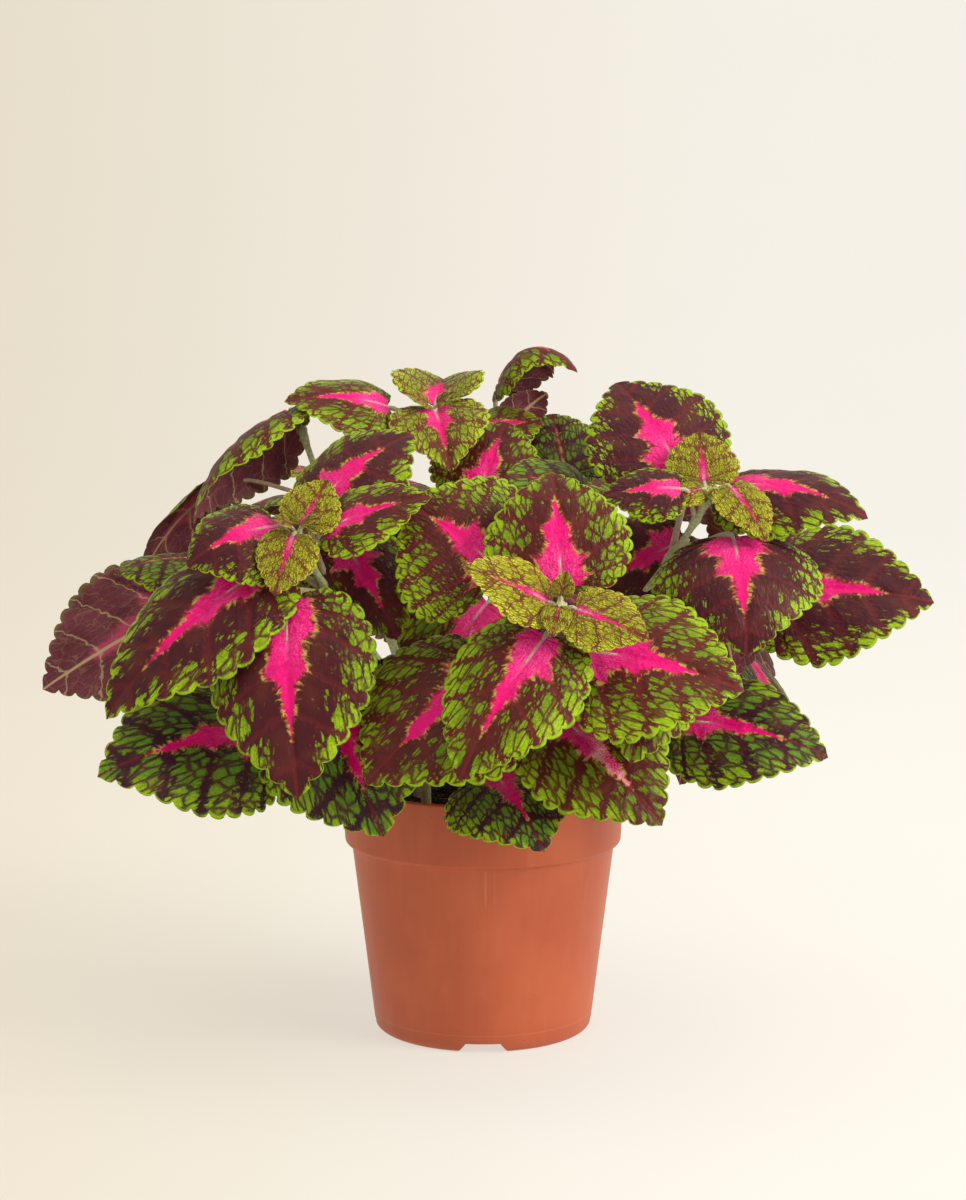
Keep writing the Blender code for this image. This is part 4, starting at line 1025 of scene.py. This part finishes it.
def make_leaves(name, leaves, materials):
    blades = [fine_blade(leaf) for leaf in leaves]
    sides = [side for blade in blades for side in blade[2]]
    obj = mesh_object("leaves_" + name, *merged([blade[:2] for blade in blades]), materials, sides)
    for k, attribute in enumerate(("leaf_at", "leaf_vein", "leaf_kind", "leaf_tone")):
        point_attribute(obj, attribute, np.concatenate([blade[3][k] for blade in blades]))
    atlas(obj, [len(blade[0]) for blade in blades])
    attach(obj, "root")
    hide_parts("shoot_" + name)


def make_stem(name, stem, leaves, material):
    """The stem with its leafstalks, whose material reads how pink each is."""
    skins = [fine_stem(stem, [leaf.joint for leaf in leaves])] + [fine_stalk(leaf) for leaf in leaves]
    pinkness = [0.0] + [pink_share(leaf) for leaf in leaves]
    obj = mesh_object("stem_" + name, *merged(skins), [material])
    point_attribute(obj, "stem_kind", np.outer(np.repeat(pinkness, [len(v) for v, _ in skins]), (1, 0, 0)))
    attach(obj, "root")


def arc(centre, radius, start, end, steps):
    """Points of an arc between two angles in degrees."""
    angles = np.radians(np.linspace(start, end, steps + 1))
    return [(centre[0] + radius * math.cos(a), centre[1] + radius * math.sin(a)) for a in angles]


def body_radius(z):
    """Outer radius of the tapering wall below the rim band."""
    return BASE_R + (NECK_R - BASE_R) * (z - FOOT_ROUND) / (BAND_LOW - FOOT_ROUND)


def on_circle(radius, angle, z):
    """Point at a radius and an angle round the pot's axis."""
    return radius * math.cos(angle), radius * math.sin(angle), z


def turned_mesh(profile, segments):
    """Closed turned skin: the profile starts and ends on the axis."""
    verts, rings = [], []
    for r, z in profile:
        count = segments if r else 1
        rings.append([len(verts) + i % count for i in range(segments)])
        verts += [on_circle(r, 2 * math.pi * i / segments, z) for i in range(count)]
    faces = []
    for low, high in zip(rings, rings[1:]):
        for i in range(segments):
            n = (i + 1) % segments
            faces.append(tuple(dict.fromkeys((low[i], low[n], high[n], high[i]))))
    return verts, faces


def pot_profile():
    """Half section of the pot, from the middle of its underside out, up, and back in to the floor."""
    floor_top = FLOOR_LOW + WALL
    band_in = BAND_R - RIM_WALL
    band_side = (BAND_R + 0.15, BAND_LOW + 2.2)
    points = [(0, FLOOR_LOW), (20, FLOOR_LOW), (FOOT_IN_R - 1, FLOOR_LOW), (FOOT_IN_R, FLOOR_LOW - 1)]
    points += [(FOOT_IN_R, 1.0), (FOOT_IN_R + 0.3, 0.2), (FOOT_IN_R + 0.8, 0)]
    points += arc((BASE_R - FOOT_ROUND, FOOT_ROUND), FOOT_ROUND, -90, 0, 9)
    points += [(body_radius(z), z) for z in (5.0, 7.2, 7.6, 8.0, 10, 18, 30, 42, 54, 64, 72, 77)]
    points += [(NECK_R - 0.05, BAND_LOW - 0.9), (NECK_R + 0.15, BAND_LOW - 0.5)]
    points += [(NECK_R + 0.6, BAND_LOW - 0.25), (BAND_R - 2.0, BAND_LOW - 0.1)]
    points += arc((BAND_R - 1.8, BAND_LOW + 1.8), 1.85, -75, 0, 6)
    points += [(band_side[0] + t * (RIM_R - band_side[0]), band_side[1] + t * 23.4)
               for t in (0.15, 0.5, 0.85, 0.98)]
    points += arc((RIM_R - LIP_ROUND, HEIGHT - LIP_ROUND), LIP_ROUND, 0, 90, 6)
    points += arc((RIM_R - RIM_WALL + 0.5, HEIGHT - 0.5), 0.5, 90, 180, 4)
    points += [(RIM_R - RIM_WALL - 0.3, HEIGHT - 2.5), (band_in + 0.4, 98), (band_in, BAND_LOW + 3)]
    points += [(NECK_R - WALL + 0.6, BAND_LOW + 0.6), (NECK_R - WALL, BAND_LOW - 1.6)]
    points += [(body_radius(floor_top + 1.5) - WALL, floor_top + 1.5)]
    points += [(body_radius(floor_top) - WALL - 1.2, floor_top), (30, floor_top), (0, floor_top)]
    return points


def cut(obj, tools):
    """Cuts the tools out of an object and removes them."""
    for tool in tools:
        boolean = obj.modifiers.new("cut", "BOOLEAN")
        boolean.operation = "DIFFERENCE"
        boolean.object = tool
    bpy.context.view_layer.update()
    mesh = bpy.data.meshes.new_from_object(obj.evaluated_get(bpy.context.evaluated_depsgraph_get()))
    obj.modifiers.clear()
    obj.data = mesh
    for tool in tools:
        bpy.data.objects.remove(tool)


def notch_tool(angle):
    """Block that cuts a notch under the foot."""
    outline = [(-NOTCH_LOW / 2 - 1, -1), (NOTCH_LOW / 2 + 1, -1), (NOTCH_HIGH / 2, NOTCH_RISE),
               (-NOTCH_HIGH / 2, NOTCH_RISE)]
    c, s = math.cos(angle), math.sin(angle)
    return mesh_object("tool", *skin(np.array([[(c * d - s * u, s * d + c * u, z) for u, z in outline]
                                               for d in (FOOT_IN_R - 4, BASE_R + 4)])), [])


def drain_tool(angle):
    """Post that cuts a drain hole through the floor."""
    x, y, _ = on_circle(DRAIN_CIRCLE, angle, 0)
    sides = np.linspace(0, 2 * math.pi, 24, endpoint=False)
    return mesh_object("tool", *skin(np.array([[(x + DRAIN_R * math.cos(b), y + DRAIN_R * math.sin(b), z)
                                                for b in sides]
                                               for z in (FLOOR_LOW - 1, FLOOR_LOW + WALL + 1)])), [])


def make_pot(material):
    pot = mesh_object("pot_body", *turned_mesh(pot_profile(), POT_SEGMENTS), [material])
    tools = []
    for i in range(NOTCHES):
        angle = math.radians(360 * i / NOTCHES - 90)
        tools += [notch_tool(angle), drain_tool(angle + math.pi / NOTCHES)]
    for solid in (*tools, pot):
        fix_normals(solid)
    cut(pot, tools)
    pot.data.shade_smooth()
    pot.data.set_sharp_from_angle(angle=math.radians(SHARP_ANGLE))
    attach(pot, "root")
    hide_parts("pot")


def fix_normals(obj):
    bm = bmesh.new()
    bm.from_mesh(obj.data)
    bmesh.ops.recalc_face_normals(bm, faces=bm.faces)
    bm.to_mesh(obj.data)
    bm.free()


def lump(rng, centre, size):
    """A small rough crumb: an octahedron with its corners pushed about, turned at random."""
    base = np.array([(1, 0, 0), (-1, 0, 0), (0, 1, 0), (0, -1, 0), (0, 0, 1), (0, 0, -1)], float)
    faces = [(0, 2, 4), (2, 1, 4), (1, 3, 4), (3, 0, 4), (2, 0, 5), (1, 2, 5), (3, 1, 5), (0, 3, 5)]
    base = base * rng.uniform(0.6, 1.2, (6, 1)) * size * (1, 1, 0.7)
    a, b = rng.uniform(0, 2 * math.pi, 2)
    spin = np.array([(math.cos(a), -math.sin(a), 0), (math.sin(a), math.cos(a), 0), (0, 0, 1)])
    tilt = np.array([(1, 0, 0), (0, math.cos(b), -math.sin(b)), (0, math.sin(b), math.cos(b))])
    return base @ spin @ tilt + centre, faces


def spot(rng, radius, share, low, high):
    """A random place on the soil, within a share of the area of a disc, and so high above the soil."""
    reach, angle = radius * math.sqrt(rng.uniform(0, share)), rng.uniform(0, 2 * math.pi)
    return np.array(on_circle(reach, angle, SOIL_TOP + rng.uniform(low, high)))


def peat_body(rng, top_r):
    """Peat from the pot's floor up to a rough top."""
    low = FLOOR_LOW + WALL + 0.3
    profile = [(0, low), (body_radius(FLOOR_LOW + 2) - WALL - 2.2, low),
               (NECK_R - WALL - 0.8, BAND_LOW - 2.5), (top_r - 0.6, BAND_LOW + 4), (top_r, SOIL_TOP - 1.5)]
    profile += [(top_r * (1 - i / SOIL_RINGS), SOIL_TOP + 0.6) for i in range(SOIL_RINGS + 1)]
    verts, faces = turned_mesh(profile, SOIL_SEGMENTS)
    verts = np.array(verts)
    top = verts[:, 2] > SOIL_TOP
    p = verts[top]
    rough = sum(np.sin(p[:, 0] * f + a) * np.sin(p[:, 1] * f + b) / f**0.7
                for f, a, b in zip(rng.uniform(0.2, 2.2, 16), rng.uniform(0, 6, 16), rng.uniform(0, 6, 16)))
    verts[top, 2] += np.clip(rough * 0.35, -1.4, 1.6)
    inside = np.hypot(p[:, 0], p[:, 1]) < top_r - 1
    verts[top, :2] += rng.uniform(-0.25, 0.25, (top.sum(), 2)) * inside[:, None]
    return verts, faces


def straw(rng, radius):
    """A thin bent fibre that lies on the soil."""
    start = spot(rng, radius, 1, 0.8, 2.0)
    way = rng.uniform(0, 2 * math.pi)
    reach = rng.uniform(3, 9)
    bend = rng.normal(0, 0.25, (2, 3)) * reach * (1, 1, 0.3)
    end = start + np.array(on_circle(1, way, rng.uniform(-0.05, 0.12))) * reach
    r = rng.uniform(0.12, 0.3)
    return skin(tube_rings((start, start + bend[0], end + bend[1], end), r, r * 0.6, 7, 4))


def make_soil(peat, fibre):
    """Filled peat with a rough top, crumbs and fibres."""
    rng = np.random.default_rng(5)
    top_r = BAND_R - RIM_WALL - 0.5
    skins = [peat_body(rng, top_r)]
    for _ in range(CRUMBS):
        centre = spot(rng, top_r, 0.97, 0.2, 1.6)
        skins.append(lump(rng, centre, rng.uniform(0.5, 1.7)))
    obj = soil_piece("soil_peat", skins, peat)
    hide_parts("soil")
    soil_piece("soil_fibres", [straw(rng, top_r - 4) for _ in range(STRAWS)], fibre)


def soil_piece(name, skins, material):
    obj = mesh_object(name, *merged(skins), [material])
    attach(obj, "root")
    fix_normals(obj)
    return obj


def stage_material():
    """Pale paper with a painted glow that keeps shadows on it weak, and painted shade that makes it a
    little darker and warmer to the left, where less light falls.
    """
    g = Graph("backdrop", Roughness=0.8, Specular_IOR_Level=0.1, Emission_Strength=0.74)
    # Painted light: the emission makes the paper glow so shadows on it stay weak. Its colour is painted
    # darker and warmer to the left, as the light falls off away from the key lamp.
    x, y, _ = g.parts(g.place())
    ahead = g.most(y + 1.25, 0.9)
    painted_falloff = g.smooth(x / ahead + g.noise(g.place(), 0.8) * 0.04, -0.2, 0.14)
    painted_glow = g.mix(painted_falloff, colour(226, 216, 197), colour(243, 240, 233))
    g.links.new(painted_glow.socket, g.shader.inputs["Emission Color"])
    fine = g.noise(g.place(), 6.0, 3.0)
    return g.finish(g.mix(fine, colour(142, 139, 132), colour(146, 143, 136)))


def make_stage():
    """Pale floor that curves up into a plain wall behind."""
    bend = np.linspace(0, math.pi / 2, STAGE_STEPS)[1:]
    line = [(-STAGE_HALF, 0.0), (STAGE_BACK, 0.0)]
    line += [(STAGE_BACK + STAGE_CURVE * math.sin(a), STAGE_CURVE * (1 - math.cos(a))) for a in bend]
    line += [(STAGE_BACK + STAGE_CURVE, STAGE_HEIGHT)]
    verts = np.array([(x, y, z) for y, z in line for x in (-STAGE_HALF, STAGE_HALF)]) / MM
    faces = [(2 * i, 2 * i + 1, 2 * i + 3, 2 * i + 2) for i in range(len(line) - 1)]
    floor = mesh_object("backdrop", verts, faces, [stage_material()])


def area_light(name, place, target, size, power, tint):
    data = bpy.data.lights.new(name, "AREA")
    data.shape = "RECTANGLE"
    data.size, data.size_y = size
    data.energy = power
    data.color = tint
    light = bpy.data.objects.new(name, data)
    bpy.context.scene.collection.objects.link(light)
    light.location = place
    light.rotation_euler = (Vector(target) - Vector(place)).to_track_quat("-Z", "Y").to_euler()


def make_lights():
    area_light("key", (2.0, -1.0, 1.4), (0, 0, 0.16), (1.4, 1.4), 54, (1.0, 0.955, 0.87))
    area_light("fill", (-1.8, -1.8, 1.0), (0, 0, 0.15), (2.4, 2.4), 9, (1.0, 0.95, 0.87))
    area_light("top", (0.2, -0.2, 2.5), (0, 0, 0.1), (2.4, 2.4), 20, (1.0, 0.96, 0.89))
    world = bpy.context.scene.world or bpy.data.worlds.new("world")
    bpy.context.scene.world = world
    world.use_nodes = True
    background = world.node_tree.nodes["Background"]
    background.inputs["Color"].default_value = (1.0, 0.96, 0.88, 1)
    background.inputs["Strength"].default_value = 0.45


def make_camera():
    data = bpy.data.cameras.new("camera")
    data.lens = LENS
    data.sensor_width = SENSOR
    camera = bpy.data.objects.new("camera", data)
    bpy.context.scene.collection.objects.link(camera)
    camera.location = EYE * MM
    camera.rotation_euler = (math.radians(90 - LOOK_DOWN), 0, 0)
    bpy.context.scene.camera = camera


def main():
    bpy.context.scene.view_settings.view_transform = "Standard"
    stems, leaves = make_layout()
    leaf_materials = [leaf_top_material(), leaf_under_material()]
    stem_finish = stem_material()
    for name, stem in stems.items():
        own = [leaf for leaf in leaves if leaf.shoot == name]
        make_leaves(name, own, leaf_materials)
        make_stem(name, stem, own, stem_finish)
    make_pot(pot_material())
    make_soil(soil_material(), fibre_material())
    make_stage()
    make_lights()
    make_camera()


main()
